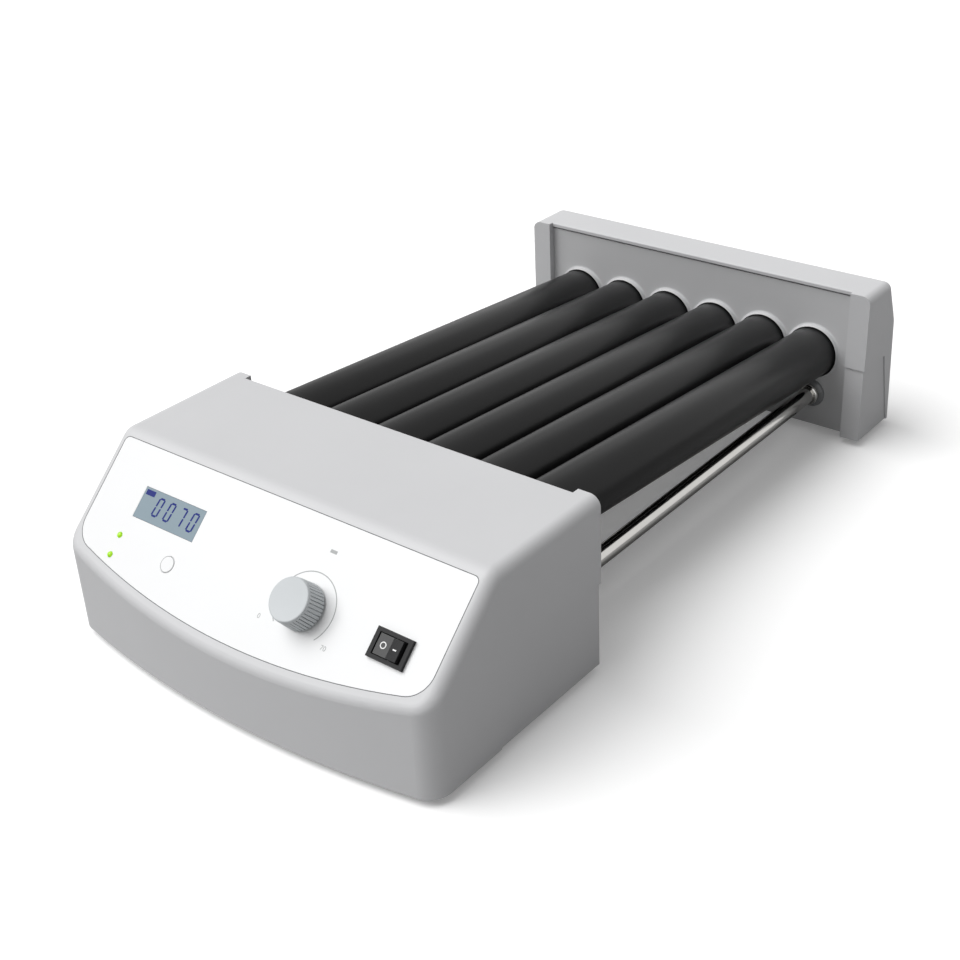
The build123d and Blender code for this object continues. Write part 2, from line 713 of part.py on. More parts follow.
def make_roller_belts():
    """Belts that link neighbouring rollers, in alternate grooves."""
    belts = Part()
    for i in range(ROLLERS - 1):
        y = groove_line(i % 2)
        belts += make_belt(ROLLER_X[i], 0, PULLEY_PITCH_R, ROLLER_X[i + 1], 0, PULLEY_PITCH_R, y)
    return tilted(belts)


def make_motor_belt():
    """Belt from the motor's pulley up to the first roller."""
    x = ROLLER_X[0]
    belt = make_belt(x, 0, PULLEY_PITCH_R, x, -MOTOR_DROP, MOTOR_PULLEY_PITCH_R, groove_line(1))
    return tilted(belt)


def make_motor_pulley():
    """Small pulley and shaft of the roller motor."""
    y = groove_line(1)
    shaft_end = BAR_Y - BAR_T - MOTOR_PLATE_GAP - MOTOR_PLATE_T - MOTOR_L / 2
    half = GROOVE_HALF + 2 * RIM_CHAMFER
    pulley = grooved(MOTOR_PULLEY_R, MOTOR_PULLEY_PITCH_R, MOTOR_HUB_R, 0, y - half, y + half, [y])
    pulley += turned([(0, shaft_end), (MOTOR_SHAFT_R, shaft_end), (MOTOR_SHAFT_R, y), (0, y)])
    return tilted(Pos(ROLLER_X[0], 0, PIVOT_Z - MOTOR_DROP) * pulley)


def make_bearing_bar():
    """Aluminium bar with six bearing seats, a yoke below its middle and a lug for the motor."""
    y0 = BAR_Y - BAR_T
    bar = block(-BAR_HALF, BAR_HALF, y0, BAR_Y, PIVOT_Z - BAR_BELOW, PIVOT_Z + BAR_ABOVE)
    bar += block(-YOKE_HALF, YOKE_HALF, y0, BAR_Y, PIVOT_Z - YOKE_DROP - YOKE_BELOW, PIVOT_Z)
    lug_x = ROLLER_X[0] + MOTOR_PLATE_HALF
    lug_z = PIVOT_Z - SPACER_DROP - 2 * SPACER_R
    bar += block(-BAR_HALF, lug_x, y0, BAR_Y, lug_z, PIVOT_Z)
    bar = fillet(bar.edges().filter_by(Axis.Y), BAR_CORNER_R)
    for x in ROLLER_X:
        bar -= disc_y(x, PIVOT_Z, BEARING_R + RUNNING, y0 - 1, BAR_Y + 1)
    z = PIVOT_Z - YOKE_DROP
    slot_r = PIN_R + PIN_GAP
    bar -= block(-PIN_SLACK_X, PIN_SLACK_X, y0 - 1, BAR_Y + 1, z - slot_r, z + slot_r)
    for side in (-1, 1):
        bar -= disc_y(side * PIN_SLACK_X, z, slot_r, y0 - 1, BAR_Y + 1)
    return tilted(bar)


def make_bearings():
    """Six ball bearings in the bar, with their raised races."""
    bearings = Part()
    y0 = BAR_Y - BAR_T
    inner = AXLE_R + RUNNING
    dip = 0.5
    for x in ROLLER_X:
        ring = turned([
            (inner, y0), (inner + BEARING_RACE, y0), (inner + BEARING_RACE, y0 + dip),
            (BEARING_R - BEARING_RACE, y0 + dip), (BEARING_R - BEARING_RACE, y0), (BEARING_R, y0),
            (BEARING_R, BAR_Y), (BEARING_R - BEARING_RACE, BAR_Y), (BEARING_R - BEARING_RACE, BAR_Y - dip),
            (inner + BEARING_RACE, BAR_Y - dip), (inner + BEARING_RACE, BAR_Y), (inner, BAR_Y),
        ])
        bearings += Pos(x, 0, PIVOT_Z) * ring
    return tilted(bearings)


def make_motor_bracket():
    """Plate that carries the roller motor, held off the bar by two spacers."""
    y1 = BAR_Y - BAR_T - MOTOR_PLATE_GAP
    y0 = y1 - MOTOR_PLATE_T
    x = ROLLER_X[0]
    top = PIVOT_Z - SPACER_DROP + 2 * SPACER_R
    low = PIVOT_Z - MOTOR_DROP - MOTOR_R
    plate = block(x - MOTOR_PLATE_HALF, x + MOTOR_PLATE_HALF, y0, y1, low, top)
    plate = fillet(plate.edges().filter_by(Axis.Y), SPACER_R)
    plate -= disc_y(x, PIVOT_Z - MOTOR_DROP, MOTOR_SHAFT_R + 1, y0 - 1, y1 + 1)
    for side in (-1, 1):
        plate += disc_y(x + side * SPACER_X, PIVOT_Z - SPACER_DROP, SPACER_R, y1, BAR_Y - BAR_T)
    return tilted(plate)


def make_roll_motor():
    """Round gear motor for the rollers, with a stepped tail."""
    y1 = BAR_Y - BAR_T - MOTOR_PLATE_GAP - MOTOR_PLATE_T
    bore = MOTOR_SHAFT_R + RUNNING
    mid = y1 - MOTOR_L / 2 - 1
    tail = y1 - MOTOR_L
    gear = y1 - MOTOR_GEAR_L
    can_r = MOTOR_R - MOTOR_STEP
    motor = turned([
        (bore, y1), (bore, mid), (0, mid), (0, tail), (MOTOR_R / 2, tail),
        (MOTOR_R / 2, tail + MOTOR_CAP_L), (can_r, tail + MOTOR_CAP_L), (can_r, gear),
        (MOTOR_R, gear), (MOTOR_R, y1),
    ])
    return tilted(Pos(ROLLER_X[0], 0, PIVOT_Z - MOTOR_DROP) * motor)


def make_lift_arm():
    """Lift arm with its long pin in the yoke and its shaft from the motor."""
    eye = (ARM_AXIS_X - ARM_LENGTH, ARM_AXIS_Z)
    arm = disc_y(ARM_AXIS_X, ARM_AXIS_Z, ARM_HUB_R, ARM_Y - ARM_T, ARM_Y)
    arm += disc_y(*eye, ARM_EYE_R, ARM_Y - ARM_T, ARM_Y)
    arm += block(eye[0], ARM_AXIS_X, ARM_Y - ARM_T, ARM_Y, ARM_AXIS_Z - ARM_EYE_R, ARM_AXIS_Z + ARM_EYE_R)
    arm += disc_y(*eye, PIN_R, ARM_Y, BAR_Y + PIN_PAST)
    arm = arm.rotate(Axis((ARM_AXIS_X, 0, ARM_AXIS_Z), (0, 1, 0)), ARM_REST)
    shaft_end = ARM_Y - ARM_T - LIFT_PLATE_GAP - LIFT_PLATE_T - LIFT_MOTOR_L / 2
    return arm + disc_y(ARM_AXIS_X, ARM_AXIS_Z, LIFT_SHAFT_R, shaft_end, ARM_Y)


def make_lift_bracket():
    """Angle bracket on the floor that holds the lift motor."""
    y1 = ARM_Y - ARM_T - LIFT_PLATE_GAP
    y0 = y1 - LIFT_PLATE_T
    x0 = ARM_AXIS_X - LIFT_PLATE_HALF
    x1 = ARM_AXIS_X + LIFT_PLATE_HALF
    bracket = block(x0, x1, y0, y1, FLOOR_TOP, ARM_AXIS_Z + LIFT_MOTOR_R + 2)
    bracket += block(x0, x1, y0 - LIFT_FOOT, y0, FLOOR_TOP, FLOOR_TOP + LIFT_PLATE_T)
    return bracket - disc_y(ARM_AXIS_X, ARM_AXIS_Z, LIFT_SHAFT_R + 1, y0 - 1, y1 + 1)


def make_lift_motor():
    """Geared lift motor with a round gearbox and a narrower can."""
    y1 = ARM_Y - ARM_T - LIFT_PLATE_GAP - LIFT_PLATE_T
    bore = LIFT_SHAFT_R + RUNNING
    mid = y1 - LIFT_MOTOR_L / 2 - 1
    tail = y1 - LIFT_MOTOR_L
    gear = y1 - LIFT_GEAR_L
    can_r = LIFT_MOTOR_R - LIFT_STEP
    motor = turned([
        (bore, y1), (bore, mid), (0, mid), (0, tail), (can_r, tail),
        (can_r, gear), (LIFT_MOTOR_R, gear), (LIFT_MOTOR_R, y1),
    ])
    return Pos(ARM_AXIS_X, 0, ARM_AXIS_Z) * motor


def make_ball_studs():
    """Ball studs that carry the far ends of the rollers."""
    studs = Part()
    web = END_Y + BRACKET_BACK
    tail = web + BRACKET_T + STUD_NUT_T + 1
    for x in ROLLER_X:
        stud = Pos(x, PIVOT_Y, PIVOT_Z) * Sphere(BALL_R)
        stud += disc_y(x, PIVOT_Z, NECK_R, PIVOT_Y, tail)
        stud += disc_y(x, PIVOT_Z, STUD_COLLAR_R, web - STUD_COLLAR_T, web)
        studs += stud
    return studs


def make_stud_nuts():
    """Hexagon nuts behind the stud bracket."""
    nuts = Part()
    y0 = END_Y + BRACKET_BACK + BRACKET_T
    for x in ROLLER_X:
        nut = hex_y(x, PIVOT_Z, STUD_NUT_AF, y0, y0 + STUD_NUT_T)
        nuts += nut - disc_y(x, PIVOT_Z, NECK_R + RUNNING, y0 - 1, y0 + STUD_NUT_T + 1)
    return nuts


def make_stud_bracket():
    """Folded steel bracket on the floor of the end housing."""
    y0 = END_Y + BRACKET_BACK
    y1 = y0 + BRACKET_T
    bracket = block(-BRACKET_HALF, BRACKET_HALF, y0, y1, FLOOR_TOP, PIVOT_Z + BRACKET_ABOVE)
    foot = block(-BRACKET_HALF, BRACKET_HALF, y1, y1 + BRACKET_FOOT, FLOOR_TOP, FLOOR_TOP + BRACKET_T)
    bracket += foot
    for x in ROLLER_X:
        bracket -= disc_y(x, PIVOT_Z, NECK_R + RUNNING, y0 - 1, y1 + 1)
    for side in (-1, 1):
        bracket -= disc_y(side * ROD_X, ROD_Z, ROD_NUT_AF, y0 - 1, y1 + 1)
    return bracket


def rod_sides():
    """Each end of each rod: its x, the plate's outer and inner face, and the way inwards."""
    for side in (-1, 1):
        for face_y, direction in ((HEAD_Y, -1), (END_Y, 1)):
            outer = face_y + direction * PLATE_RECESS
            yield side * ROD_X, outer, outer + direction * PLATE_T, direction


def make_tie_rods():
    """Two round rods that hold the housings together."""
    past = PLATE_RECESS + PLATE_T + ROD_END
    rods = Part()
    for side in (-1, 1):
        rods += disc_y(side * ROD_X, ROD_Z, ROD_R, HEAD_Y - past, END_Y + past)
    return rods


def make_rod_collars():
    """Flat collars where the rods meet the plates."""
    collars = Part()
    for x, outer, inner, direction in rod_sides():
        y = sorted([outer, outer - direction * COLLAR_T])
        ring = disc_y(x, ROD_Z, COLLAR_R, y[0], y[1])
        collars += ring - disc_y(x, ROD_Z, ROD_R + RUNNING, y[0] - 1, y[1] + 1)
    return collars


def make_rod_rings():
    """Bright rings in front of the collars."""
    rings = Part()
    for x, outer, inner, direction in rod_sides():
        near = outer - direction * COLLAR_T
        y = sorted([near, near - direction * RING_T])
        ring = disc_y(x, ROD_Z, RING_R, y[0], y[1])
        rings += ring - disc_y(x, ROD_Z, ROD_R + RUNNING, y[0] - 1, y[1] + 1)
    return rings


def make_rod_nuts():
    """Hexagon nuts on the rods inside the housings."""
    nuts = Part()
    for x, outer, inner, direction in rod_sides():
        y = sorted([inner, inner + direction * ROD_NUT_T])
        nut = hex_y(x, ROD_Z, ROD_NUT_AF, y[0], y[1])
        nuts += nut - disc_y(x, ROD_Z, ROD_R + RUNNING, y[0] - 1, y[1] + 1)
    return nuts


def make_feet():
    """Rubber feet under both floors."""
    feet = Part()
    for x, y in FEET:
        foot = disc_z(x, y, FOOT_R, 0, FLOOR_Z)
        feet += chamfer(foot.edges().group_by(Axis.Z)[0], 1.0)
    return feet


def make_case_screws():
    """Pan head screws that close the housings from below."""
    screws = Part()
    for x, y in HEAD_COLUMNS + END_COLUMNS:
        screw = disc_z(x, y, SCREW_HEAD_R, FLOOR_Z - SCREW_HEAD_H, FLOOR_Z)
        screw += disc_z(x, y, SCREW_R, FLOOR_Z, FLOOR_TOP + SCREW_BITE - 1)
        screws += screw
    return screws


def make_panel_sheet():
    """White printed sheet let into the slope."""
    sheet = PANEL * Pos(0, 0, -PANEL_T) * extrude(panel_outline(0), amount=PANEL_T)
    return sheet - panel_holes(0)


def make_display_glass():
    """Window of the display, flush with the sheet."""
    return panel_block(DISPLAY_X, DISPLAY_DOWN, DISPLAY_W, DISPLAY_H, -PANEL_T, 0)


def make_display_module():
    """Display in its frame, on the board."""
    frame_w = DISPLAY_W + 2 * DISPLAY_FRAME
    frame_h = DISPLAY_H + 2 * DISPLAY_FRAME
    step = -WALL - RUNNING
    module = panel_block(DISPLAY_X, DISPLAY_DOWN, DISPLAY_W + 1, DISPLAY_H + 1, step, -PANEL_T)
    return module + panel_block(DISPLAY_X, DISPLAY_DOWN, frame_w, frame_h, -BOARD_DEPTH, step)


def make_indicator_lights():
    """Two light pipes that stand on the board."""
    lights = Part()
    for step in range(2):
        light = panel_disc(LED_X, LED_DOWN + step * LED_STEP, LED_R, -BOARD_DEPTH, LED_OUT)
        lights += light
    return lights


def make_control_board():
    """Circuit board with the key's switch, below the panel."""
    width = BOARD_X1 - BOARD_X0
    height = BOARD_LOW - BOARD_TOP
    middle_x = (BOARD_X0 + BOARD_X1) / 2
    middle_down = (BOARD_TOP + BOARD_LOW) / 2
    board = panel_block(middle_x, middle_down, width, height, -BOARD_DEPTH - BOARD_T, -BOARD_DEPTH)
    for x, down in BOARD_POSTS:
        board -= panel_disc(x, down, SCREW_R + SLIP, -BOARD_DEPTH - BOARD_T - 1, -BOARD_DEPTH + 1)
    key_top = STEM_END - BUTTON_TRAVEL - 2 * RUNNING
    return board + panel_block(BUTTON_X, BUTTON_DOWN, KEY_W, KEY_W, -BOARD_DEPTH, key_top)


def make_board_screws():
    """Screws that hold the board to its posts."""
    screws = Part()
    under = -BOARD_DEPTH - BOARD_T
    for x, down in BOARD_POSTS:
        screw = panel_disc(x, down, SCREW_HEAD_R, under - SCREW_HEAD_H, under)
        screws += screw + panel_disc(x, down, SCREW_R, under, -WALL - 1)
    return screws


def make_mode_button():
    """Round key with a flange under the cover and a stem to its switch."""
    flange = -WALL - RUNNING
    under = flange - BUTTON_FLANGE
    button = panel_disc(BUTTON_X, BUTTON_DOWN, BUTTON_R, flange, BUTTON_OUT)
    button += panel_disc(BUTTON_X, BUTTON_DOWN, BUTTON_R + BUTTON_FLANGE, under, flange)
    return button + panel_disc(BUTTON_X, BUTTON_DOWN, STEM_R, STEM_END, under)


def make_knob():
    """Fluted knob, a little narrower at its face."""
    low = KNOB_GAP
    knob = PANEL * Pos(KNOB_X, -KNOB_DOWN, low + KNOB_H / 2) * Cylinder(KNOB_R, KNOB_H)
    top = knob.edges().filter_by(GeomType.CIRCLE).sort_by(Axis(PANEL.origin, PANEL.z_dir))[-1]
    knob = fillet(top, KNOB_EDGE_R)
    cutters = Part()
    for i in range(KNOB_FLUTES):
        cutter = Pos(KNOB_R, 0, low + KNOB_H / 2 - KNOB_FLUTE_STOP) * Box(KNOB_FLUTE_W, KNOB_FLUTE_W, KNOB_H)
        cutters += Rot(0, 0, 360 * i / KNOB_FLUTES) * cutter
    knob -= PANEL * Pos(KNOB_X, -KNOB_DOWN, 0) * cutters
    return knob - panel_disc(KNOB_X, KNOB_DOWN, KNOB_SHAFT_R + RUNNING, low - 1, low + KNOB_BORE_DEPTH)


def make_knob_shaft():
    """Shaft from the encoder into the knob."""
    return panel_disc(KNOB_X, KNOB_DOWN, KNOB_SHAFT_R, SHAFT_END, KNOB_GAP + KNOB_BORE_DEPTH)


def make_encoder():
    """Rotary encoder with its bushing through the cover."""
    body = panel_block(KNOB_X, KNOB_DOWN, ENCODER_W, ENCODER_W, -BOARD_DEPTH, -WALL - RUNNING)
    body += panel_disc(KNOB_X, KNOB_DOWN, KNOB_SHAFT_R + ENCODER_BUSH, -WALL - RUNNING, 0)
    return body - panel_disc(KNOB_X, KNOB_DOWN, KNOB_SHAFT_R + RUNNING, -BOARD_DEPTH - 1, 1)


def make_encoder_plunger():
    """Small plunger under the shaft that the knob pushes."""
    low = -BOARD_DEPTH + PLUNGER_UP
    return panel_disc(KNOB_X, KNOB_DOWN, KNOB_SHAFT_R, low, low + PLUNGER_L)


def trunnion(radius, length):
    """A bar across the switch, on the rocker's pivot."""
    bar = Pos(SWITCH_X, -SWITCH_DOWN, -ROCKER_PIVOT) * Rot(90, 0, 0) * Cylinder(radius, length)
    return PANEL * bar


def make_switch_bezel():
    """Black frame and body of the power switch."""
    body_w = SWITCH_W - 2 * SWITCH_LIP
    body_h = SWITCH_H - 2 * SWITCH_LIP
    bezel = panel_block(SWITCH_X, SWITCH_DOWN, SWITCH_W, SWITCH_H, 0, SWITCH_RIM)
    bezel += panel_block(SWITCH_X, SWITCH_DOWN, body_w, body_h, -SWITCH_BODY, 0)
    room_w = ROCKER_W + 2 * ROCKER_GAP
    room_h = ROCKER_H + ROCKER_GAP
    bezel -= panel_block(SWITCH_X, SWITCH_DOWN, room_w, room_h, -SWITCH_BODY / 2, SWITCH_RIM + 1)
    return bezel - trunnion(TRUNNION_R + RUNNING, room_h + 2 * TRUNNION_OUT + SLIP)


def make_switch_rocker():
    """Two-way rocker, at rest with its left end in."""
    half = ROCKER_W / 2
    points = [
        (-half, -ROCKER_SKIRT), (-ROCKER_KEEL_HALF, -ROCKER_KEEL), (ROCKER_KEEL_HALF, -ROCKER_KEEL),
        (half, -ROCKER_SKIRT), (half, ROCKER_OUT), (0, ROCKER_OUT - ROCKER_DISH), (-half, ROCKER_OUT),
    ]
    face = make_face(Polyline(points, close=True))
    rocker = extrude(Plane.XZ * face, amount=ROCKER_H / 2, both=True)
    rocker = rocker.rotate(Axis((0, 0, -ROCKER_PIVOT), (0, 1, 0)), -ROCKER_TILT)
    rocker = PANEL * Pos(SWITCH_X, -SWITCH_DOWN, 0) * rocker
    return rocker + trunnion(TRUNNION_R, ROCKER_H + ROCKER_GAP + 2 * TRUNNION_OUT)


def make_power_inlet():
    """Round low voltage inlet with its centre pin."""
    outer = -WIDTH / 2 + SEAM_STEP - JACK_FLANGE_T
    inlet = turned([
        (0, JACK_PIN_IN), (JACK_PIN_R, JACK_PIN_IN), (JACK_PIN_R, JACK_BORE_L), (JACK_BORE_R, JACK_BORE_L),
        (JACK_BORE_R, 0), (JACK_FLANGE_R, 0), (JACK_FLANGE_R, JACK_FLANGE_T), (JACK_R, JACK_FLANGE_T),
        (JACK_R, JACK_L), (0, JACK_L),
    ])
    return Pos(outer, HEAD_Y - JACK_BACK, JACK_Z) * Rot(0, 0, -90) * inlet


PIECES = {
    "head_cover": make_head_cover,
    "head_base": make_head_base,
    "head_plate": make_head_plate,
    "end_cover": make_end_cover,
    "end_base": make_end_base,
    "end_plate": make_end_plate,
    "roller_rims": make_roller_rims,
    "ball_studs": make_ball_studs,
    "stud_nuts": make_stud_nuts,
    "stud_bracket": make_stud_bracket,
    "tie_rods": make_tie_rods,
    "rod_collars": make_rod_collars,
    "rod_rings": make_rod_rings,
    "rod_nuts": make_rod_nuts,
    "feet": make_feet,
    "case_screws": make_case_screws,
    "bearing_bar": make_bearing_bar,
    "drive_bearings": make_bearings,
    "roller_belts": make_roller_belts,
    "motor_belt": make_motor_belt,
    "motor_bracket": make_motor_bracket,
    "roll_motor": make_roll_motor,
    "motor_pulley": make_motor_pulley,
    "lift_arm": make_lift_arm,
    "lift_bracket": make_lift_bracket,
    "lift_motor": make_lift_motor,
    "panel_sheet": make_panel_sheet,
    "display_glass": make_display_glass,
    "display_module": make_display_module,
    "indicator_lights": make_indicator_lights,
    "control_board": make_control_board,
    "board_screws": make_board_screws,
    "mode_button": make_mode_button,
    "speed_knob": make_knob,
    "knob_shaft": make_knob_shaft,
    "encoder": make_encoder,
    "encoder_plunger": make_encoder_plunger,
    "switch_bezel": make_switch_bezel,
    "switch_rocker": make_switch_rocker,
    "power_inlet": make_power_inlet,
}

os.makedirs("parts", exist_ok=True)
for name, make in PIECES.items():
    export_step(make(), f"parts/{name}.step")
for number, place in enumerate(ROLLER_X, start=1):
    export_step(make_roller(place), f"parts/roller_{number}.step")
    export_step(make_axle(place), f"parts/roller_axle_{number}.step")
    export_step(make_pulley(place), f"parts/roller_pulley_{number}.step")
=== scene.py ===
import json
from math import atan2, cos, pi, radians, sin

import bmesh
import bpy
from mathutils import Matrix, Vector


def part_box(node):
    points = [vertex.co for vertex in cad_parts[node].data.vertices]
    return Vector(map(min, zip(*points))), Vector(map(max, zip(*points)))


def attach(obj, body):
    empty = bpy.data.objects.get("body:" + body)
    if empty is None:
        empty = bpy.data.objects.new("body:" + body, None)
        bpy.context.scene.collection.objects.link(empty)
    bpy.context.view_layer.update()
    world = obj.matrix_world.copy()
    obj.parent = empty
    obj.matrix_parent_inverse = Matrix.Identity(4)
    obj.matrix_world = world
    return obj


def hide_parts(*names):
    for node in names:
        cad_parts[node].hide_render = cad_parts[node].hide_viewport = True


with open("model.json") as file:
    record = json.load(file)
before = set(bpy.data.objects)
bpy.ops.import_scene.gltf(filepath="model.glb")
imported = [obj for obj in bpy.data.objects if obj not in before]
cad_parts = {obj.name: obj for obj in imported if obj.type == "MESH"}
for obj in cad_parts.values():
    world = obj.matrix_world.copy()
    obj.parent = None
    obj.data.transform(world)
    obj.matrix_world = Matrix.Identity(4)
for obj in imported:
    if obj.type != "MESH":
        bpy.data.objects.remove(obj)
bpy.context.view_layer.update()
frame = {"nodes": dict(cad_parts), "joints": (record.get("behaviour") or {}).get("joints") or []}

nodes = frame["nodes"]
bpy.ops.object.select_all(action="DESELECT")


# Camera. It looks down at the mixer from in front of the head and to its right,
# with the photograph's slight roll.
EYE = Vector((0.46204, -0.57890, 0.44963))
EYE_TURN = radians(40.08)
EYE_RISE = radians(29.72)
EYE_ROLL = radians(-2.95)
FILM_W = 36.0
LENS = 57.04
NEAREST = 0.01

eye_back = Vector((sin(EYE_TURN) * cos(EYE_RISE), -cos(EYE_TURN) * cos(EYE_RISE), sin(EYE_RISE)))
eye_right = Vector((cos(EYE_TURN), sin(EYE_TURN), 0))
eye_up = eye_back.cross(eye_right)
rolled_right = cos(EYE_ROLL) * eye_right + sin(EYE_ROLL) * eye_up
rolled_up = cos(EYE_ROLL) * eye_up - sin(EYE_ROLL) * eye_right
bpy.ops.object.camera_add()
camera = bpy.context.object
camera.name = "photo_camera"
eye_axes = Matrix((rolled_right, rolled_up, eye_back)).transposed().to_4x4()
camera.matrix_world = Matrix.Translation(EYE) @ eye_axes
camera.data.sensor_width = FILM_W
camera.data.lens = LENS
camera.data.clip_start = NEAREST
bpy.context.scene.camera = camera
bpy.context.scene.view_settings.view_transform = "Standard"


# Studio. A pale floor, a broad soft light from above and in front on the left, a weak lamp behind,
# and an even white room that the camera and the shiny pieces see.
FLOOR_SIZE = 6
FLOOR_DOWN = 0.0004
FLOOR_WHITE = 0.96
FLOOR_BOUNCE = 0.40
FLOOR_LIFT = 0.15
ROOM_LIGHT = 0.36
KEY_FROM = Vector((-0.42, -0.40, 0.81))
KEY_LEVEL = 0.86
KEY_SPREAD = radians(55)
BACK_FROM = Vector((-0.5, 1.1, 1.1))
BACK_TARGET = Vector((0, 0.1, 0.05))
BACK_W = 0.7
BACK_H = 0.5
BACK_POWER = 0.5

bpy.ops.mesh.primitive_plane_add(size=FLOOR_SIZE, location=(0, 0, -FLOOR_DOWN))
floor = bpy.context.object
floor.name = "studio_floor"
floor_paint = bpy.data.materials.new("studio_floor")
floor_paint.use_nodes = True
tree = floor_paint.node_tree
tree.nodes.clear()
out = tree.nodes.new("ShaderNodeOutputMaterial")
matt = tree.nodes.new("ShaderNodeBsdfDiffuse")
shade = tree.nodes.new("ShaderNodeMapRange")
shade.inputs["To Min"].default_value = FLOOR_BOUNCE
shade.inputs["To Max"].default_value = FLOOR_WHITE
lift = tree.nodes.new("ShaderNodeEmission")
seen = tree.nodes.new("ShaderNodeLightPath")
share = tree.nodes.new("ShaderNodeMath")
share.operation = "MULTIPLY"
share.inputs[1].default_value = FLOOR_LIFT
both = tree.nodes.new("ShaderNodeAddShader")
tree.links.new(seen.outputs["Is Camera Ray"], share.inputs[0])
tree.links.new(seen.outputs["Is Camera Ray"], shade.inputs["Value"])
tree.links.new(shade.outputs["Result"], matt.inputs["Color"])
tree.links.new(share.outputs[0], lift.inputs["Strength"])
tree.links.new(matt.outputs[0], both.inputs[0])
tree.links.new(lift.outputs[0], both.inputs[1])
tree.links.new(both.outputs[0], out.inputs["Surface"])
floor.data.materials.append(floor_paint)

room = bpy.data.worlds.new("studio_room")
bpy.context.scene.world = room
room.use_nodes = True
tree = room.node_tree
tree.nodes.clear()
out = tree.nodes.new("ShaderNodeOutputWorld")
air = tree.nodes.new("ShaderNodeBackground")
air.inputs["Color"].default_value = (1, 1, 1, 1)
seen = tree.nodes.new("ShaderNodeLightPath")
any_gloss = tree.nodes.new("ShaderNodeMath")
any_gloss.operation = "MAXIMUM"
any_seen = tree.nodes.new("ShaderNodeMath")
any_seen.operation = "MAXIMUM"
level = tree.nodes.new("ShaderNodeMapRange")
level.inputs["To Min"].default_value = ROOM_LIGHT
level.inputs["To Max"].default_value = 1.0
tree.links.new(seen.outputs["Is Glossy Ray"], any_gloss.inputs[0])
tree.links.new(seen.outputs["Is Transmission Ray"], any_gloss.inputs[1])
tree.links.new(any_gloss.outputs[0], any_seen.inputs[0])
tree.links.new(seen.outputs["Is Camera Ray"], any_seen.inputs[1])
tree.links.new(any_seen.outputs[0], level.inputs["Value"])
tree.links.new(level.outputs[0], air.inputs["Strength"])
tree.links.new(air.outputs[0], out.inputs["Surface"])

bpy.ops.object.light_add(type="SUN", location=2 * KEY_FROM)
key = bpy.context.object
key.name = "key_light"
key.data.energy = pi * KEY_LEVEL
key.data.angle = KEY_SPREAD
key.rotation_euler = KEY_FROM.to_track_quat("Z", "Y").to_euler()

bpy.ops.object.light_add(type="AREA", location=BACK_FROM)
back = bpy.context.object
back.name = "back_softbox"
back.data.shape = "RECTANGLE"
back.data.size = BACK_W
back.data.size_y = BACK_H
back.data.energy = BACK_POWER
back.rotation_euler = (BACK_TARGET - BACK_FROM).to_track_quat("-Z", "Y").to_euler()


# Feet. Soft black rubber buttons pressed into the floors of both housings,
# dull, with a little grey dust in the rubber.
RUBBER_BLACK = (0.018, 0.018, 0.019, 1)
RUBBER_DUST = (0.050, 0.049, 0.047, 1)
FOOT_R = 0.008
FOOT_INSET = 0.026
FOOT_EDGE = 0.0010
FOOT_DISH_R = 0.0030
FOOT_DISH = 0.0012


def group_socket(group, name, in_out, kind, value=None):
    socket = group.interface.new_socket(name, in_out=in_out, socket_type=kind)
    if value is not None:
        socket.default_value = value
    return socket


def build_skin_group():
    """Two tones that drift into each other, a drifting gloss and a fine grain."""
    group = bpy.data.node_groups.new("fine_skin", "ShaderNodeTree")
    group_socket(group, "Colour", "INPUT", "NodeSocketColor", (0.5, 0.5, 0.5, 1))
    group_socket(group, "Second Colour", "INPUT", "NodeSocketColor", (0.4, 0.4, 0.4, 1))
    group_socket(group, "Drift Scale", "INPUT", "NodeSocketFloat", 40.0)
    group_socket(group, "Grain Scale", "INPUT", "NodeSocketFloat", 1600.0)
    group_socket(group, "Smooth", "INPUT", "NodeSocketFloat", 0.4)
    group_socket(group, "Rough", "INPUT", "NodeSocketFloat", 0.5)
    group_socket(group, "Colour", "OUTPUT", "NodeSocketColor")
    group_socket(group, "Roughness", "OUTPUT", "NodeSocketFloat")
    group_socket(group, "Grain", "OUTPUT", "NodeSocketFloat")
    n, link = group.nodes, group.links
    given = n.new("NodeGroupInput")
    result = n.new("NodeGroupOutput")
    where = n.new("ShaderNodeTexCoord")
    drift = n.new("ShaderNodeTexNoise")
    drift.inputs["Detail"].default_value = 4.0
    grain = n.new("ShaderNodeTexNoise")
    grain.inputs["Detail"].default_value = 2.0
    tone = n.new("ShaderNodeMix")
    tone.data_type = "RGBA"
    gloss = n.new("ShaderNodeMapRange")
    link.new(where.outputs["Object"], drift.inputs["Vector"])
    link.new(where.outputs["Object"], grain.inputs["Vector"])
    link.new(given.outputs["Drift Scale"], drift.inputs["Scale"])
    link.new(given.outputs["Grain Scale"], grain.inputs["Scale"])
    link.new(drift.outputs["Fac"], tone.inputs["Factor"])
    link.new(given.outputs["Colour"], tone.inputs["A"])
    link.new(given.outputs["Second Colour"], tone.inputs["B"])
    link.new(drift.outputs["Fac"], gloss.inputs["Value"])
    link.new(given.outputs["Smooth"], gloss.inputs["To Min"])
    link.new(given.outputs["Rough"], gloss.inputs["To Max"])
    link.new(tone.outputs["Result"], result.inputs["Colour"])
    link.new(gloss.outputs["Result"], result.inputs["Roughness"])
    link.new(grain.outputs["Fac"], result.inputs["Grain"])
    return group


skin_group = build_skin_group()


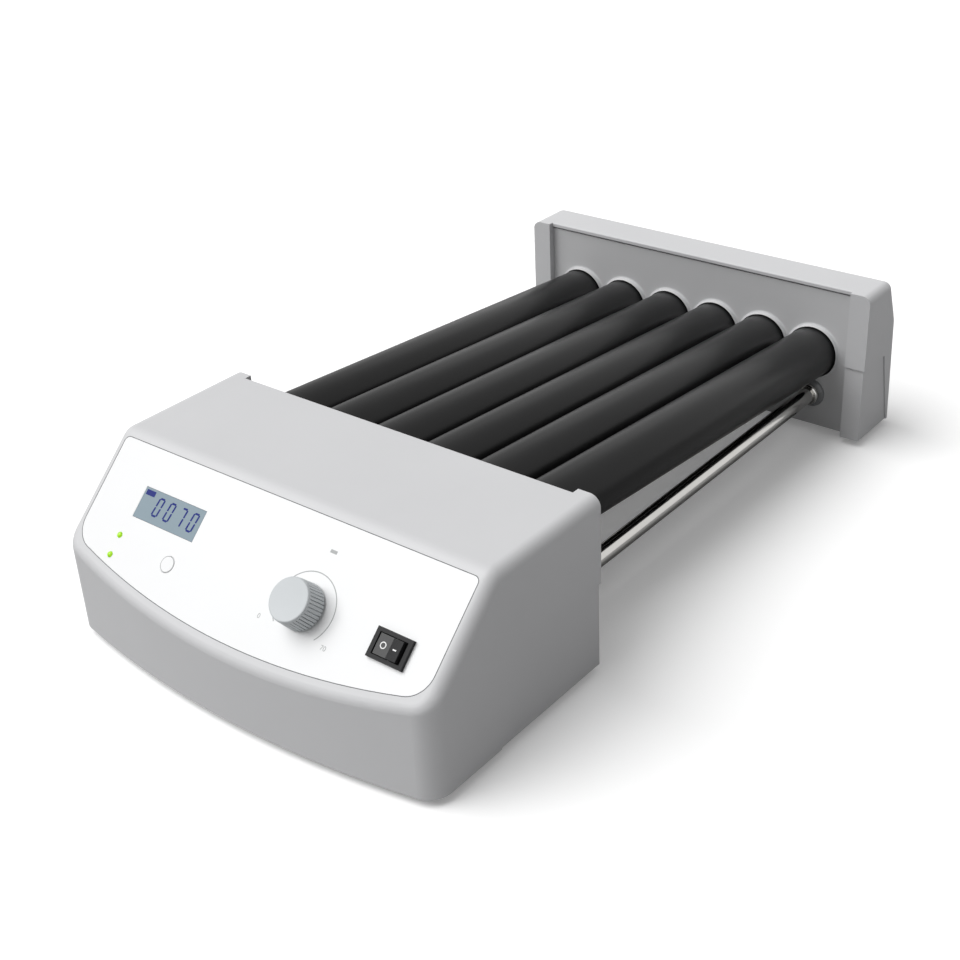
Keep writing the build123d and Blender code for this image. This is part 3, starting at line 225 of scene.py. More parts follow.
def skin(name, colour, second, drift, grain, smooth, rough, depth, metal=0.0):
    """A surface with fine grain: a moulded, cast or coated finish."""
    material = bpy.data.materials.new(name)
    material.use_nodes = True
    n, link = material.node_tree.nodes, material.node_tree.links
    shader = n["Principled BSDF"]
    shader.inputs["Metallic"].default_value = metal
    surface = n.new("ShaderNodeGroup")
    surface.node_tree = skin_group
    surface.inputs["Colour"].default_value = colour
    surface.inputs["Second Colour"].default_value = second
    surface.inputs["Drift Scale"].default_value = drift
    surface.inputs["Grain Scale"].default_value = grain
    surface.inputs["Smooth"].default_value = smooth
    surface.inputs["Rough"].default_value = rough
    relief = n.new("ShaderNodeBump")
    relief.inputs["Distance"].default_value = depth
    link.new(surface.outputs["Colour"], shader.inputs["Base Color"])
    link.new(surface.outputs["Roughness"], shader.inputs["Roughness"])
    link.new(surface.outputs["Grain"], relief.inputs["Height"])
    link.new(relief.outputs["Normal"], shader.inputs["Normal"])
    return material


def coat(node_name, material):
    """Gives a solid of the frame its finish."""
    for slot in nodes[node_name].material_slots:
        slot.material = material


def turned(name, outline, steps=96):
    """A piece turned about its own Z axis: a half outline is drawn by extruding a point, and spun."""
    bpy.ops.mesh.primitive_plane_add(size=0.001, enter_editmode=True)
    piece = bpy.context.object
    piece.name = name
    bpy.ops.mesh.merge(type="CENTER")
    at = Vector((0, 0, 0))
    for count, (radius, height) in enumerate(outline):
        step = Vector((radius, 0, height)) - at
        if count:
            bpy.ops.mesh.extrude_vertices_move(TRANSFORM_OT_translate={"value": step})
        else:
            bpy.ops.transform.translate(value=step)
        at += step
    bpy.ops.mesh.select_all(action="SELECT")
    bpy.ops.mesh.spin(steps=steps, angle=2 * pi, center=(0, 0, 0), axis=(0, 0, 1))
    bpy.ops.mesh.select_all(action="SELECT")
    bpy.ops.mesh.remove_doubles(threshold=0.000001)
    bpy.ops.mesh.normals_make_consistent(inside=False)
    bpy.ops.object.mode_set(mode="OBJECT")
    bpy.ops.object.shade_smooth_by_angle(angle=radians(35))
    return piece


def fitted(piece, place, body, slot, material, *stands_for):
    """Puts a finished piece in its place, with its finish, on its body."""
    piece.data.transform(place)
    piece.data.materials.clear()
    piece.data.materials.append(material)
    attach(piece, body)
    if stands_for:
        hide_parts(*stands_for)
    return piece


def twin(piece, name):
    """A copy of a piece with a mesh of its own."""
    copy = piece.copy()
    copy.data = piece.data.copy()
    copy.name = name
    bpy.context.collection.objects.link(copy)
    return copy


foot_rubber = skin("foot_rubber", RUBBER_BLACK, RUBBER_DUST, 90, 2500, 0.62, 0.80, 0.00006)
feet_low, feet_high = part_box("feet")
foot_h = feet_high.z
head_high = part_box("head_cover")[1]
foot = turned("rubber_foot", [
    (0, FOOT_DISH), (FOOT_DISH_R, FOOT_DISH), (FOOT_DISH_R + 0.0006, 0), (FOOT_R - FOOT_EDGE, 0),
    (FOOT_R - 0.3 * FOOT_EDGE, 0.3 * FOOT_EDGE), (FOOT_R, FOOT_EDGE), (FOOT_R - 0.0004, foot_h),
    (0, foot_h),
], 64)
foot_x = feet_high.x - FOOT_R
foot_count = 0
for y in (feet_low.y + FOOT_R, head_high.y - FOOT_INSET, feet_high.y - FOOT_R):
    for x in (-foot_x, foot_x):
        foot_count += 1
        copy = twin(foot, f"rubber_foot_{foot_count}")
        fitted(copy, Matrix.Translation((x, y, 0)), "housings", "foot_rubber", foot_rubber, "feet")
bpy.data.objects.remove(foot)


# Bases. Each housing's floor and low cheeks are one moulding in light grey plastic,
# finely textured by the mould, which the cover slips over and screws hold from below.
HOUSING_GREY = (0.600, 0.602, 0.612, 1)
HOUSING_SHADE = (0.565, 0.567, 0.578, 1)

housing_plastic = skin("housing_plastic", HOUSING_GREY, HOUSING_SHADE, 18, 3200, 0.42, 0.52, 0.00003)
coat("head_base", housing_plastic)
coat("end_base", housing_plastic)


# Case screws. Zinc plated pan head screws, driven up through the floors
# into the covers' columns.
ZINC = (0.56, 0.57, 0.56, 1)
ZINC_DULL = (0.42, 0.43, 0.43, 1)

zinc_plate = skin("zinc_plate", ZINC, ZINC_DULL, 220, 2600, 0.28, 0.46, 0.00002, 1.0)
plated = (
    "case_screws", "board_screws", "rod_nuts", "stud_nuts", "stud_bracket", "motor_bracket", "lift_bracket",
)
for name in plated:
    coat(name, zinc_plate)


# Plates. The sheets behind the pillars of both housings, coated in a slightly darker grey;
# the head's has tall slots for the axles, the end housing's a hole for each roller.
PLATE_GREY = (0.560, 0.562, 0.570, 1)
PLATE_SHADE = (0.520, 0.522, 0.530, 1)

plate_coat = skin("plate_coat", PLATE_GREY, PLATE_SHADE, 25, 2600, 0.40, 0.50, 0.00002)
coat("head_plate", plate_coat)
coat("end_plate", plate_coat)


# Rims. A raised lip moulded round each hole of the end plate, where a roller goes in,
# in the plate's own grey.
RIM_WALL = 0.00065
RIM_FLARE = 0.0012
RIM_ROUND = 0.0004

rim_low, rim_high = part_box("roller_rims")
hinge = {joint["name"]: joint for joint in frame["joints"]}
roller_place = [Vector(hinge[f"roller_{number}_turn"]["pos_m"]) for number in range(1, 7)]
rim_r = (rim_high.z - rim_low.z) / 2
rim_t = rim_high.y - rim_low.y
hole_r = rim_r - RIM_WALL
towards_head = Matrix.Rotation(radians(90), 4, "X")

rim = turned("roller_rim", [
    (hole_r, 0), (rim_r + RIM_FLARE, 0), (rim_r + RIM_ROUND, RIM_ROUND), (rim_r + 0.0001, 0.0011),
    (rim_r, rim_t - RIM_ROUND), (rim_r - 0.00015, rim_t - 0.0001), (rim_r - 0.0003, rim_t),
    (hole_r + 0.0001, rim_t - 0.0001), (hole_r, rim_t - 0.0005), (hole_r, 0),
], 144)
for number, place in enumerate(roller_place, start=1):
    copy = twin(rim, f"roller_rim_{number}")
    seat = Matrix.Translation((place.x, rim_high.y, place.z)) @ towards_head
    fitted(copy, seat, "housings", "rim", plate_coat, "roller_rims")
bpy.data.objects.remove(rim)


# Ball studs. Turned steel, fixed by their nuts to a folded bracket inside the end housing.
STEEL = (0.55, 0.55, 0.56, 1)
STEEL_DULL = (0.42, 0.42, 0.43, 1)

turned_steel = skin("turned_steel", STEEL, STEEL_DULL, 140, 3000, 0.24, 0.38, 0.00001, 1.0)
coat("ball_studs", turned_steel)


# Tie rods. Two polished chrome bars that hold the housings together, with a grey moulded collar
# and a bright pressed ring where each end goes into a plate.
CHROME = (0.62, 0.61, 0.59, 1)
CHROME_DULL = (0.55, 0.54, 0.52, 1)
COLLAR_GREY = (0.20, 0.205, 0.21, 1)
COLLAR_SHADE = (0.16, 0.165, 0.17, 1)
ROD_EDGE = 0.0006
COLLAR_R = 0.009
COLLAR_T = 0.0025
RING_R = 0.0066
RING_T = 0.0030

rod_chrome = skin("rod_chrome", CHROME, CHROME_DULL, 60, 2400, 0.10, 0.20, 0.000004, 1.0)
collar_grey = skin("collar_grey", COLLAR_GREY, COLLAR_SHADE, 60, 2800, 0.22, 0.32, 0.00001)
rods_low, rods_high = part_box("tie_rods")
rod_r = (rods_high.z - rods_low.z) / 2
rod_x = rods_high.x - rod_r
rod_z = (rods_high.z + rods_low.z) / 2
rod_l = rods_high.y - rods_low.y
head_plate_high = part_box("head_plate")[1]
end_plate_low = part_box("end_plate")[0]
towards_end = Matrix.Rotation(radians(-90), 4, "X")

rod = turned("tie_rod", [
    (0, 0), (rod_r - ROD_EDGE, 0), (rod_r, ROD_EDGE), (rod_r, rod_l - ROD_EDGE),
    (rod_r - ROD_EDGE, rod_l), (0, rod_l),
], 128)
collar = turned("rod_collar", [
    (rod_r, 0), (COLLAR_R, 0), (COLLAR_R, 0.0008), (COLLAR_R - 0.0003, 0.0014), (COLLAR_R - 0.0009, 0.0019),
    (COLLAR_R - 0.0018, 0.0023), (RING_R, COLLAR_T), (rod_r, COLLAR_T), (rod_r, 0),
], 96)
ring = turned("rod_ring", [
    (rod_r, 0), (RING_R, 0), (RING_R, RING_T - 0.0010), (RING_R - 0.0002, RING_T - 0.0004),
    (RING_R - 0.0006, RING_T - 0.0001), (RING_R - 0.0010, RING_T), (rod_r, RING_T - 0.0002), (rod_r, 0),
], 96)
faces = (("end", end_plate_low.y, towards_head, -1), ("head", head_plate_high.y, towards_end, 1))
for side, hand in ((-1, "left"), (1, "right")):
    x = side * rod_x
    seat = Matrix.Translation((x, rods_low.y, rod_z)) @ towards_end
    fitted(twin(rod, f"tie_rod_{hand}"), seat, "housings", "rod_chrome", rod_chrome, "tie_rods")
    for end, face_y, turn, away in faces:
        seat = Matrix.Translation((x, face_y, rod_z)) @ turn
        copy = twin(collar, f"rod_collar_{hand}_{end}")
        fitted(copy, seat, "housings", "collar_grey", collar_grey, "rod_collars")
        seat = Matrix.Translation((x, face_y + away * COLLAR_T, rod_z)) @ turn
        copy = twin(ring, f"rod_ring_{hand}_{end}")
        fitted(copy, seat, "housings", "rod_chrome", rod_chrome, "rod_rings")
for spare in (rod, collar, ring):
    bpy.data.objects.remove(spare)


# Rocking bar. A milled aluminium bar inside the head with pressed in ball bearings. It carries
# the near ends of the rollers and the motor that turns them.
ALUMINIUM = (0.60, 0.61, 0.62, 1)
ALUMINIUM_DULL = (0.50, 0.51, 0.52, 1)

milled_aluminium = skin("milled_aluminium", ALUMINIUM, ALUMINIUM_DULL, 300, 1800, 0.30, 0.45, 0.00002, 1.0)
coat("bearing_bar", milled_aluminium)
coat("drive_bearings", turned_steel)


# Belts. Round drive belts of brown rubber, from roller to roller and up from the motor.
BELT_BROWN = (0.070, 0.022, 0.008, 1)
BELT_WORN = (0.110, 0.045, 0.020, 1)

belt_rubber = skin("belt_rubber", BELT_BROWN, BELT_WORN, 260, 2200, 0.50, 0.72, 0.00005)
coat("roller_belts", belt_rubber)
coat("motor_belt", belt_rubber)


# Motors. Two gear motors in painted cans: one hangs from the rocking bar and turns the rollers,
# the other stands on the floor of the head and swings the lift arm.
CAN_GREY = (0.075, 0.080, 0.085, 1)
CAN_SHADE = (0.055, 0.058, 0.062, 1)

motor_paint = skin("motor_paint", CAN_GREY, CAN_SHADE, 50, 1800, 0.32, 0.48, 0.00003)
coat("roll_motor", motor_paint)
coat("lift_motor", motor_paint)
coat("lift_arm", turned_steel)


# Rollers. Six straight tubes with a satin black skin, their ends rounded over, each turning
# with its axle. They lie a little higher at the head.
ROLLER_BLACK = (0.0030, 0.0030, 0.0032, 1)
ROLLER_WORN = (0.0060, 0.0060, 0.0062, 1)
ROLLER_WALL = 0.003
ROLLER_EDGE = 0.0010
ROLLER_ROUND = 0.3 * ROLLER_EDGE
ROLLER_SHEEN = 0.26


def sheen(material, level):
    """Sets how much of the room a finish mirrors."""
    material.node_tree.nodes["Principled BSDF"].inputs["Specular IOR Level"].default_value = level


roller_skin = skin("roller_skin", ROLLER_BLACK, ROLLER_WORN, 55, 2600, 0.28, 0.36, 0.00003)
sheen(roller_skin, ROLLER_SHEEN)
roller_low, roller_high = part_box("roller_1")
roller_r = (roller_high.x - roller_low.x) / 2
axis = Vector(hinge["roller_1_turn"]["axis"]).normalized()
reach = [(Vector(vertex.co) - roller_place[0]).dot(axis) for vertex in nodes["roller_1"].data.vertices]
roller_l = max(reach) - min(reach)
inner_r = roller_r - ROLLER_WALL
roller = turned("roller_tube", [
    (inner_r, 0), (roller_r - ROLLER_EDGE, 0), (roller_r - ROLLER_ROUND, ROLLER_ROUND),
    (roller_r, ROLLER_EDGE), (roller_r, roller_l - ROLLER_EDGE),
    (roller_r - ROLLER_ROUND, roller_l - ROLLER_ROUND), (roller_r - ROLLER_EDGE, roller_l),
    (inner_r, roller_l), (inner_r, 0),
], 160)
lean = Vector((0, 0, 1)).rotation_difference(axis).to_matrix().to_4x4()
for number, place in enumerate(roller_place, start=1):
    seat = Matrix.Translation(place + min(reach) * axis) @ lean
    copy = twin(roller, f"roller_tube_{number}")
    fitted(copy, seat, f"roller_{number}", "roller_skin", roller_skin, f"roller_{number}")
bpy.data.objects.remove(roller)


# Axles and pulleys. A turned steel axle with two plugs in each roller, and a black moulded pulley
# with two grooves pressed on its near end. The motor has a smaller one.
PULLEY_BLACK = (0.018, 0.018, 0.020, 1)
PULLEY_WORN = (0.030, 0.030, 0.032, 1)

pulley_plastic = skin("pulley_plastic", PULLEY_BLACK, PULLEY_WORN, 120, 2600, 0.38, 0.52, 0.00002)
for number in range(1, 7):
    coat(f"roller_axle_{number}", turned_steel)
    coat(f"roller_pulley_{number}", pulley_plastic)
coat("motor_pulley", pulley_plastic)


# Covers. The head's cover is one light grey moulding with the top, the slope and the bowed front;
# the end housing has a smaller one. Both stand a step proud of their bases.
coat("head_cover", housing_plastic)
coat("end_cover", housing_plastic)


# Panel sheet. A white printed sheet let into the slope, with a dark bead round its outline as painted
# shadow in the seam. A thin arc with plain numbers shows the knob's travel, and a small bar is printed
# above it.
PANEL_WHITE = (0.780, 0.785, 0.790, 1)
PANEL_SHADE = (0.760, 0.765, 0.771, 1)
PRINT_GREY = (0.36, 0.37, 0.37, 1)
PRINT_SHADE = (0.32, 0.33, 0.33, 1)
# The two dark greys of the bead round the sheet are painted shadow in the seam between sheet and slope.
SEAM_SHADOW_GREY = (0.16, 0.165, 0.17, 1)
SEAM_SHADOW_DEEPER = (0.12, 0.125, 0.13, 1)
PRINT_T = 0.00003
EDGE_W = 0.00025
EDGE_SUNK = 0.00012
ARC_R = 0.017
ARC_W = 0.0005
ARC_START = radians(222)
ARC_SWEEP = radians(264)
BAR_W = 0.0040
BAR_H = 0.0016
BAR_ROUND = 0.0002
BAR_X = 0.0014
BAR_UP = 0.0280
NUMBER_SIZE = 0.0034
NUMBER_PLACES = (("0", -0.0217, 0.0120), ("70", 0.0192, 0.0130))

panel_print = skin("panel_print", PANEL_WHITE, PANEL_SHADE, 14, 3000, 0.26, 0.34, 0.000006)
print_grey = skin("print_grey", PRINT_GREY, PRINT_SHADE, 300, 3000, 0.40, 0.50, 0.000004)
seam_shadow = skin("seam_shadow", SEAM_SHADOW_GREY, SEAM_SHADOW_DEEPER, 200, 2600, 0.5, 0.6, 0.00001)
coat("panel_sheet", panel_print)
knob_place = Vector(hinge["knob_turn"]["pos_m"])
panel_out = Vector(hinge["knob_turn"]["axis"]).normalized()
panel_up = panel_out.cross(Vector((1, 0, 0)))


def from_knob(node_name):
    """A solid's corners, counted from the knob's middle."""
    return [Vector(vertex.co) - knob_place for vertex in nodes[node_name].data.vertices]


def on_panel(x, down, height=0.0):
    """A place on the panel, counted from the knob's middle, with its own X, up and out."""
    at = knob_place + Vector((x, 0, 0)) - down * panel_up + height * panel_out
    turn = Matrix((Vector((1, 0, 0)), panel_up, panel_out)).transposed().to_4x4()
    return Matrix.Translation(at) @ turn


def printed(name, place, material=None, slot="panel_white", thickness=PRINT_T):
    """Gives the flat outline in edit mode the thickness of ink and puts it on the panel."""
    piece = bpy.context.object
    piece.name = name
    bpy.ops.mesh.select_all(action="SELECT")
    bpy.ops.mesh.extrude_region_move(TRANSFORM_OT_translate={"value": (0, 0, thickness)})
    bpy.ops.mesh.select_all(action="SELECT")
    bpy.ops.mesh.normals_make_consistent(inside=False)
    bpy.ops.object.mode_set(mode="OBJECT")
    return fitted(piece, place, "housings", slot, material or print_grey)


# Painted seam shadow: a thin dark tube laid along the sheet's outer outline, sunk a little below its face.
edge = bpy.data.objects.new("panel_seam_shadow", nodes["panel_sheet"].data.copy())
bpy.context.collection.objects.link(edge)
bpy.ops.object.select_all(action="DESELECT")
edge.select_set(True)
bpy.context.view_layer.objects.active = edge
bpy.ops.object.mode_set(mode="EDIT")
bpy.ops.mesh.select_all(action="SELECT")
bpy.ops.mesh.remove_doubles(threshold=0.000001)
edge_mesh = bmesh.from_edit_mesh(edge.data)
for face in edge_mesh.faces:
    face.select_set(False)
sides = [face for face in edge_mesh.faces if face.normal.dot(panel_out) < 0.9]
bmesh.ops.delete(edge_mesh, geom=sides, context="FACES")
rims = [line for line in edge_mesh.edges if line.is_boundary]
loops = []
while rims:
    loop = [rims.pop()]
    for line in loop:
        near = [other for other in rims if set(other.verts) & set(line.verts)]
        loop += near
        rims = [other for other in rims if other not in near]
    loops.append(loop)
outer = max(loops, key=lambda loop: sum(line.calc_length() for line in loop))
bmesh.ops.delete(edge_mesh, geom=list(edge_mesh.faces), context="FACES_ONLY")
bmesh.ops.delete(edge_mesh, geom=[line for line in edge_mesh.edges if line not in outer], context="EDGES")
bmesh.ops.translate(edge_mesh, verts=edge_mesh.verts, vec=-EDGE_SUNK * panel_out)
bmesh.update_edit_mesh(edge.data)
bpy.ops.object.mode_set(mode="OBJECT")
bpy.ops.object.convert(target="CURVE")
edge.data.bevel_depth = EDGE_W
edge.data.bevel_resolution = 2
bpy.ops.object.convert(target="MESH")
fitted(edge, Matrix(), "housings", "panel_white", seam_shadow)

arc_way = Vector((cos(ARC_START), sin(ARC_START), 0))
bpy.ops.mesh.primitive_plane_add(size=0.001, enter_editmode=True)
bpy.ops.mesh.merge(type="CENTER")
bpy.ops.transform.translate(value=(ARC_R - ARC_W / 2) * arc_way)
bpy.ops.mesh.extrude_vertices_move(TRANSFORM_OT_translate={"value": ARC_W * arc_way})
bpy.ops.mesh.select_all(action="SELECT")
bpy.ops.mesh.spin(steps=96, angle=ARC_SWEEP, center=(0, 0, 0), axis=(0, 0, 1))
printed("printed_arc", on_panel(0, 0))

bpy.ops.mesh.primitive_plane_add(size=1, enter_editmode=True)
bpy.ops.transform.resize(value=(BAR_W, BAR_H, 1))
bpy.ops.mesh.bevel(offset=BAR_ROUND, affect="VERTICES", segments=3)
printed("printed_bar", on_panel(BAR_X, -BAR_UP))

for words, x, down in NUMBER_PLACES:
    bpy.ops.object.text_add()
    number = bpy.context.object
    number.data.body = words
    number.data.size = NUMBER_SIZE
    number.data.align_x = "CENTER"
    number.data.align_y = "CENTER"
    bpy.ops.object.convert(target="MESH")
    bpy.ops.object.mode_set(mode="EDIT")
    printed(f"printed_{words}", on_panel(x, down))


# Display. A grey blue liquid crystal window, level with the sheet, with dark blue slanted digits
# of seven strokes and a plain tag in its corner.
DISPLAY_BLUE = (0.215, 0.285, 0.330, 1)
DISPLAY_SHADE = (0.245, 0.315, 0.360, 1)
DIGIT_BLUE = (0.001, 0.010, 0.150, 1)
DIGIT_SHADE = (0.002, 0.014, 0.190, 1)
DIGIT_W = 0.0046
DIGIT_H = 0.0104
STROKE_W = 0.0012
STROKE_GAP = 0.0003
DIGIT_SLANT = 0.10
DIGIT_LEFT = (0.262, 0.452, 0.645, 0.840)
LIT_STROKES = ("abcdef", "abcdef", "abc", "abcdef")
DIGITS_DOWN = 0.47
TAG_W = 0.0064
TAG_H = 0.0028
TAG_ROUND = 0.0003
TAG_RIGHT = 0.10
TAG_DOWN = 0.15
DISPLAY_SHEEN = 0.15
MODULE_BLACK = (0.012, 0.012, 0.013, 1)
MODULE_WORN = (0.020, 0.020, 0.021, 1)

display_film = skin("display_film", DISPLAY_BLUE, DISPLAY_SHADE, 26, 3000, 0.18, 0.26, 0.000003)
digit_ink = skin("digit_ink", DIGIT_BLUE, DIGIT_SHADE, 200, 3000, 0.30, 0.40, 0.000003)
sheen(display_film, DISPLAY_SHEEN)
sheen(digit_ink, DISPLAY_SHEEN)
coat("display_glass", display_film)
glass_points = from_knob("display_glass")
glass_left = min(point.x for point in glass_points)
glass_right = max(point.x for point in glass_points)
glass_top = max(point.dot(panel_up) for point in glass_points)
glass_low = min(point.dot(panel_up) for point in glass_points)
glass_w = glass_right - glass_left
glass_h = glass_top - glass_low

bpy.ops.mesh.primitive_circle_add(vertices=6, radius=STROKE_W / 2, fill_type="NGON", enter_editmode=True)
bpy.ops.transform.rotate(value=radians(30), orient_axis="Z", center_override=(0, 0, 0))
bpy.ops.mesh.extrude_region_move(TRANSFORM_OT_translate={"value": (0, 0, PRINT_T)})
bpy.ops.mesh.select_all(action="SELECT")
bpy.ops.mesh.normals_make_consistent(inside=False)
bpy.ops.object.mode_set(mode="OBJECT")
stroke = bpy.context.object
stroke.name = "digit_stroke"


def laid_stroke(x, y, length, upright):
    """One stroke, drawn out to its length and turned along the digit."""
    bar = twin(stroke, "digit_bar")
    for vertex in bar.data.vertices:
        if upright:
            vertex.co.xy = (-vertex.co.y, vertex.co.x)
        spot = vertex.co.y if upright else vertex.co.x
        push = (length - STROKE_W) / 2 * (1 if spot > 0 else -1)
        if upright:
            vertex.co.y += push
        else:
            vertex.co.x += push
        vertex.co.x += x
        vertex.co.y += y
    return bar


half_w = (DIGIT_W - STROKE_W) / 2
half_h = (DIGIT_H - STROKE_W) / 2
across = DIGIT_W - STROKE_W - STROKE_GAP
down_l = half_h - STROKE_GAP
stroke_places = {
    "a": (0, half_h, across, False), "d": (0, -half_h, across, False),
    "b": (half_w, half_h / 2, down_l, True), "c": (half_w, -half_h / 2, down_l, True),
    "f": (-half_w, half_h / 2, down_l, True), "e": (-half_w, -half_h / 2, down_l, True),
}
bars = []
for left, lit in zip(DIGIT_LEFT, LIT_STROKES):
    digit_x = glass_left + left * glass_w + DIGIT_W / 2
    for name in lit:
        bar = laid_stroke(*stroke_places[name])
        for vertex in bar.data.vertices:
            vertex.co.x += DIGIT_SLANT * (vertex.co.y - half_h) + digit_x
        bars.append(bar)
bpy.ops.object.select_all(action="DESELECT")
for bar in bars:
    bar.select_set(True)
bpy.context.view_layer.objects.active = bars[0]
bpy.ops.object.join()
bars[0].name = "display_digits"
digits_seat = on_panel(0, DIGITS_DOWN * glass_h - glass_top)
fitted(bars[0], digits_seat, "housings", "display_clear", digit_ink)
bpy.data.objects.remove(stroke)

bpy.ops.mesh.primitive_plane_add(size=1, enter_editmode=True)
bpy.ops.transform.resize(value=(TAG_W, TAG_H, 1))
bpy.ops.mesh.bevel(offset=TAG_ROUND, affect="VERTICES", segments=3)
tag_seat = on_panel(glass_left + TAG_RIGHT * glass_w, TAG_DOWN * glass_h - glass_top)
printed("display_tag", tag_seat, digit_ink, "display_clear")

module_black = skin("module_black", MODULE_BLACK, MODULE_WORN, 90, 2600, 0.42, 0.55, 0.00002)
for name in ("display_module", "encoder"):
    coat(name, module_black)


# Indicator lights. Two small green domes, the ends of light pipes that stand on the board.
LIGHT_LIT = (0.52, 0.90, 0.010, 1)
LIGHT_DARK = (0.030, 0.190, 0.002, 1)
LIGHT_GLOW = 0.55
LIGHT_LOW = -0.006
LIGHT_OUT = 0.0011

light_green = skin("light_green", LIGHT_LIT, LIGHT_DARK, 900, 3000, 0.12, 0.20, 0.000002)
lights_low, lights_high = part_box("indicator_lights")
light_r = (lights_high.x - lights_low.x) / 2
light_points = from_knob("indicator_lights")
light_x = sum(point.x for point in light_points) / len(light_points)
light_tops = [point.dot(panel_up) for point in light_points]
tree = light_green.node_tree
glow = tree.nodes["Principled BSDF"]
glow.inputs["Emission Strength"].default_value = LIGHT_GLOW
tree.links.new(tree.nodes["Group"].outputs["Colour"], glow.inputs["Emission Color"])
dome = turned("light_dome", [
    (0, LIGHT_LOW), (light_r, LIGHT_LOW), (light_r, 0.0001), (0.94 * light_r, 0.0004),
    (0.80 * light_r, 0.0007), (0.55 * light_r, 0.00095), (0.28 * light_r, 0.00107), (0, LIGHT_OUT),
], 48)
for name, up in (("upper", max(light_tops) - light_r), ("lower", min(light_tops) + light_r)):
    copy = twin(dome, f"light_dome_{name}")
    fitted(copy, on_panel(light_x, -up), "housings", "light_green", light_green, "indicator_lights")
bpy.data.objects.remove(dome)


# Control board. A green circuit board on four posts behind the panel, with the key's switch on it.
BOARD_GREEN = (0.010, 0.080, 0.035, 1)
BOARD_SHADE = (0.007, 0.060, 0.026, 1)

board_green = skin("board_green", BOARD_GREEN, BOARD_SHADE, 160, 2600, 0.28, 0.40, 0.00001)
coat("control_board", board_green)
coat("encoder_plunger", turned_steel)
coat("knob_shaft", turned_steel)


# Mode button. A white moulded key, all but level with the sheet, with a thin grey ring printed
# near its edge. It rides on its own switch.
BUTTON_WHITE = (0.770, 0.775, 0.780, 1)
BUTTON_SHADE = (0.745, 0.750, 0.755, 1)
BUTTON_OUT = 0.00025
BUTTON_EDGE = 0.0001
STEM_R = 0.0015
FLANGE_W = 0.0012
FLANGE_TOP = -0.00255
FLANGE_LOW = -0.00375
RING_PRINT_R = 0.0038
RING_PRINT_W = 0.0003

button_white = skin("button_white", BUTTON_WHITE, BUTTON_SHADE, 30, 3000, 0.26, 0.34, 0.000006)
button_points = from_knob("mode_button")
button_left = min(point.x for point in button_points)
button_right = max(point.x for point in button_points)
flange_r = (button_right - button_left) / 2
button_r = flange_r - FLANGE_W
button_x = (button_right + button_left) / 2
button_ups = [point.dot(panel_up) for point in button_points]
button_up = (max(button_ups) + min(button_ups)) / 2
button_low = min(point.dot(panel_out) for point in button_points)
button = turned("mode_key", [
    (0, button_low), (STEM_R, button_low), (STEM_R, FLANGE_LOW), (flange_r, FLANGE_LOW),
    (flange_r, FLANGE_TOP), (button_r, FLANGE_TOP), (button_r, BUTTON_OUT - BUTTON_EDGE),
    (button_r - BUTTON_EDGE, BUTTON_OUT), (0, BUTTON_OUT),
], 96)
button_seat = on_panel(button_x, -button_up)
fitted(button, button_seat, "mode_button", "button_grey", button_white, "mode_button")
button_ring = turned("mode_key_ring", [
    (RING_PRINT_R, 0), (RING_PRINT_R + RING_PRINT_W, 0), (RING_PRINT_R + RING_PRINT_W, PRINT_T),
    (RING_PRINT_R, PRINT_T), (RING_PRINT_R, 0),
], 96)
ring_seat = on_panel(button_x, -button_up, BUTTON_OUT)
fitted(button_ring, ring_seat, "mode_button", "button_grey", print_grey)


# Speed knob. A light grey moulded knob with a smooth, slightly dished face and fine flutes cut
# round its side, pushed on the encoder's shaft.
KNOB_GREY = (0.52, 0.545, 0.560, 1)
KNOB_SHADE = (0.47, 0.495, 0.510, 1)
FLUTES = 40
FLUTE_STEPS = 4
FLUTE_DEPTH = 0.0006
FLUTE_INSET = 0.00006
FLUTE_STOP = 0.0014
FLUTE_START = 0.0004
BORE_R = 0.00305
BORE_DEPTH = 0.009
KNOB_TAPER = 0.0008
FACE_DISH = 0.00026

knob_grey = skin("knob_grey", KNOB_GREY, KNOB_SHADE, 40, 3000, 0.34, 0.42, 0.00001)
knob_points = from_knob("speed_knob")
knob_r = (max(point.x for point in knob_points) - min(point.x for point in knob_points)) / 2
knob_low = min(point.dot(panel_out) for point in knob_points)
knob_high = max(point.dot(panel_out) for point in knob_points)
bore_top = knob_low + BORE_DEPTH
face_r = knob_r - KNOB_TAPER
knob = turned("fluted_knob", [
    (0, bore_top), (BORE_R, bore_top), (BORE_R, knob_low), (knob_r - 0.0006, knob_low),
    (knob_r, knob_low + 0.0005), (face_r + 0.0002, knob_high - FLUTE_STOP), (face_r, knob_high - 0.0006),
    (face_r - 0.0002, knob_high - 0.0002), (face_r - 0.0006, knob_high),
    (0.7 * face_r, knob_high - 0.0001), (0.35 * face_r, knob_high - 0.00022), (0, knob_high - FACE_DISH),
], FLUTES * FLUTE_STEPS)
bpy.ops.object.select_all(action="DESELECT")
knob.select_set(True)
bpy.context.view_layer.objects.active = knob
bpy.ops.object.mode_set(mode="EDIT")
bpy.ops.mesh.select_mode(type="FACE")
bpy.ops.mesh.select_all(action="DESELECT")
knob_mesh = bmesh.from_edit_mesh(knob.data)
flute_turn = 2 * pi / FLUTES
for face in knob_mesh.faces:
    middle = face.calc_center_median()
    in_band = knob_low + FLUTE_START < middle.z < knob_high - FLUTE_STOP
    on_side = in_band and middle.xy.length > face_r - 0.0001
    share = (atan2(middle.y, middle.x) % flute_turn) / flute_turn
    face.select_set(on_side and 0.25 < share < 0.5)
bmesh.update_edit_mesh(knob.data)
bpy.ops.mesh.inset(thickness=FLUTE_INSET, depth=-FLUTE_DEPTH, use_individual=True)
bpy.ops.object.mode_set(mode="OBJECT")
bpy.ops.object.shade_smooth_by_angle(angle=radians(25))
fitted(knob, on_panel(0, 0), "speed_knob", "knob_grey", knob_grey, "speed_knob")


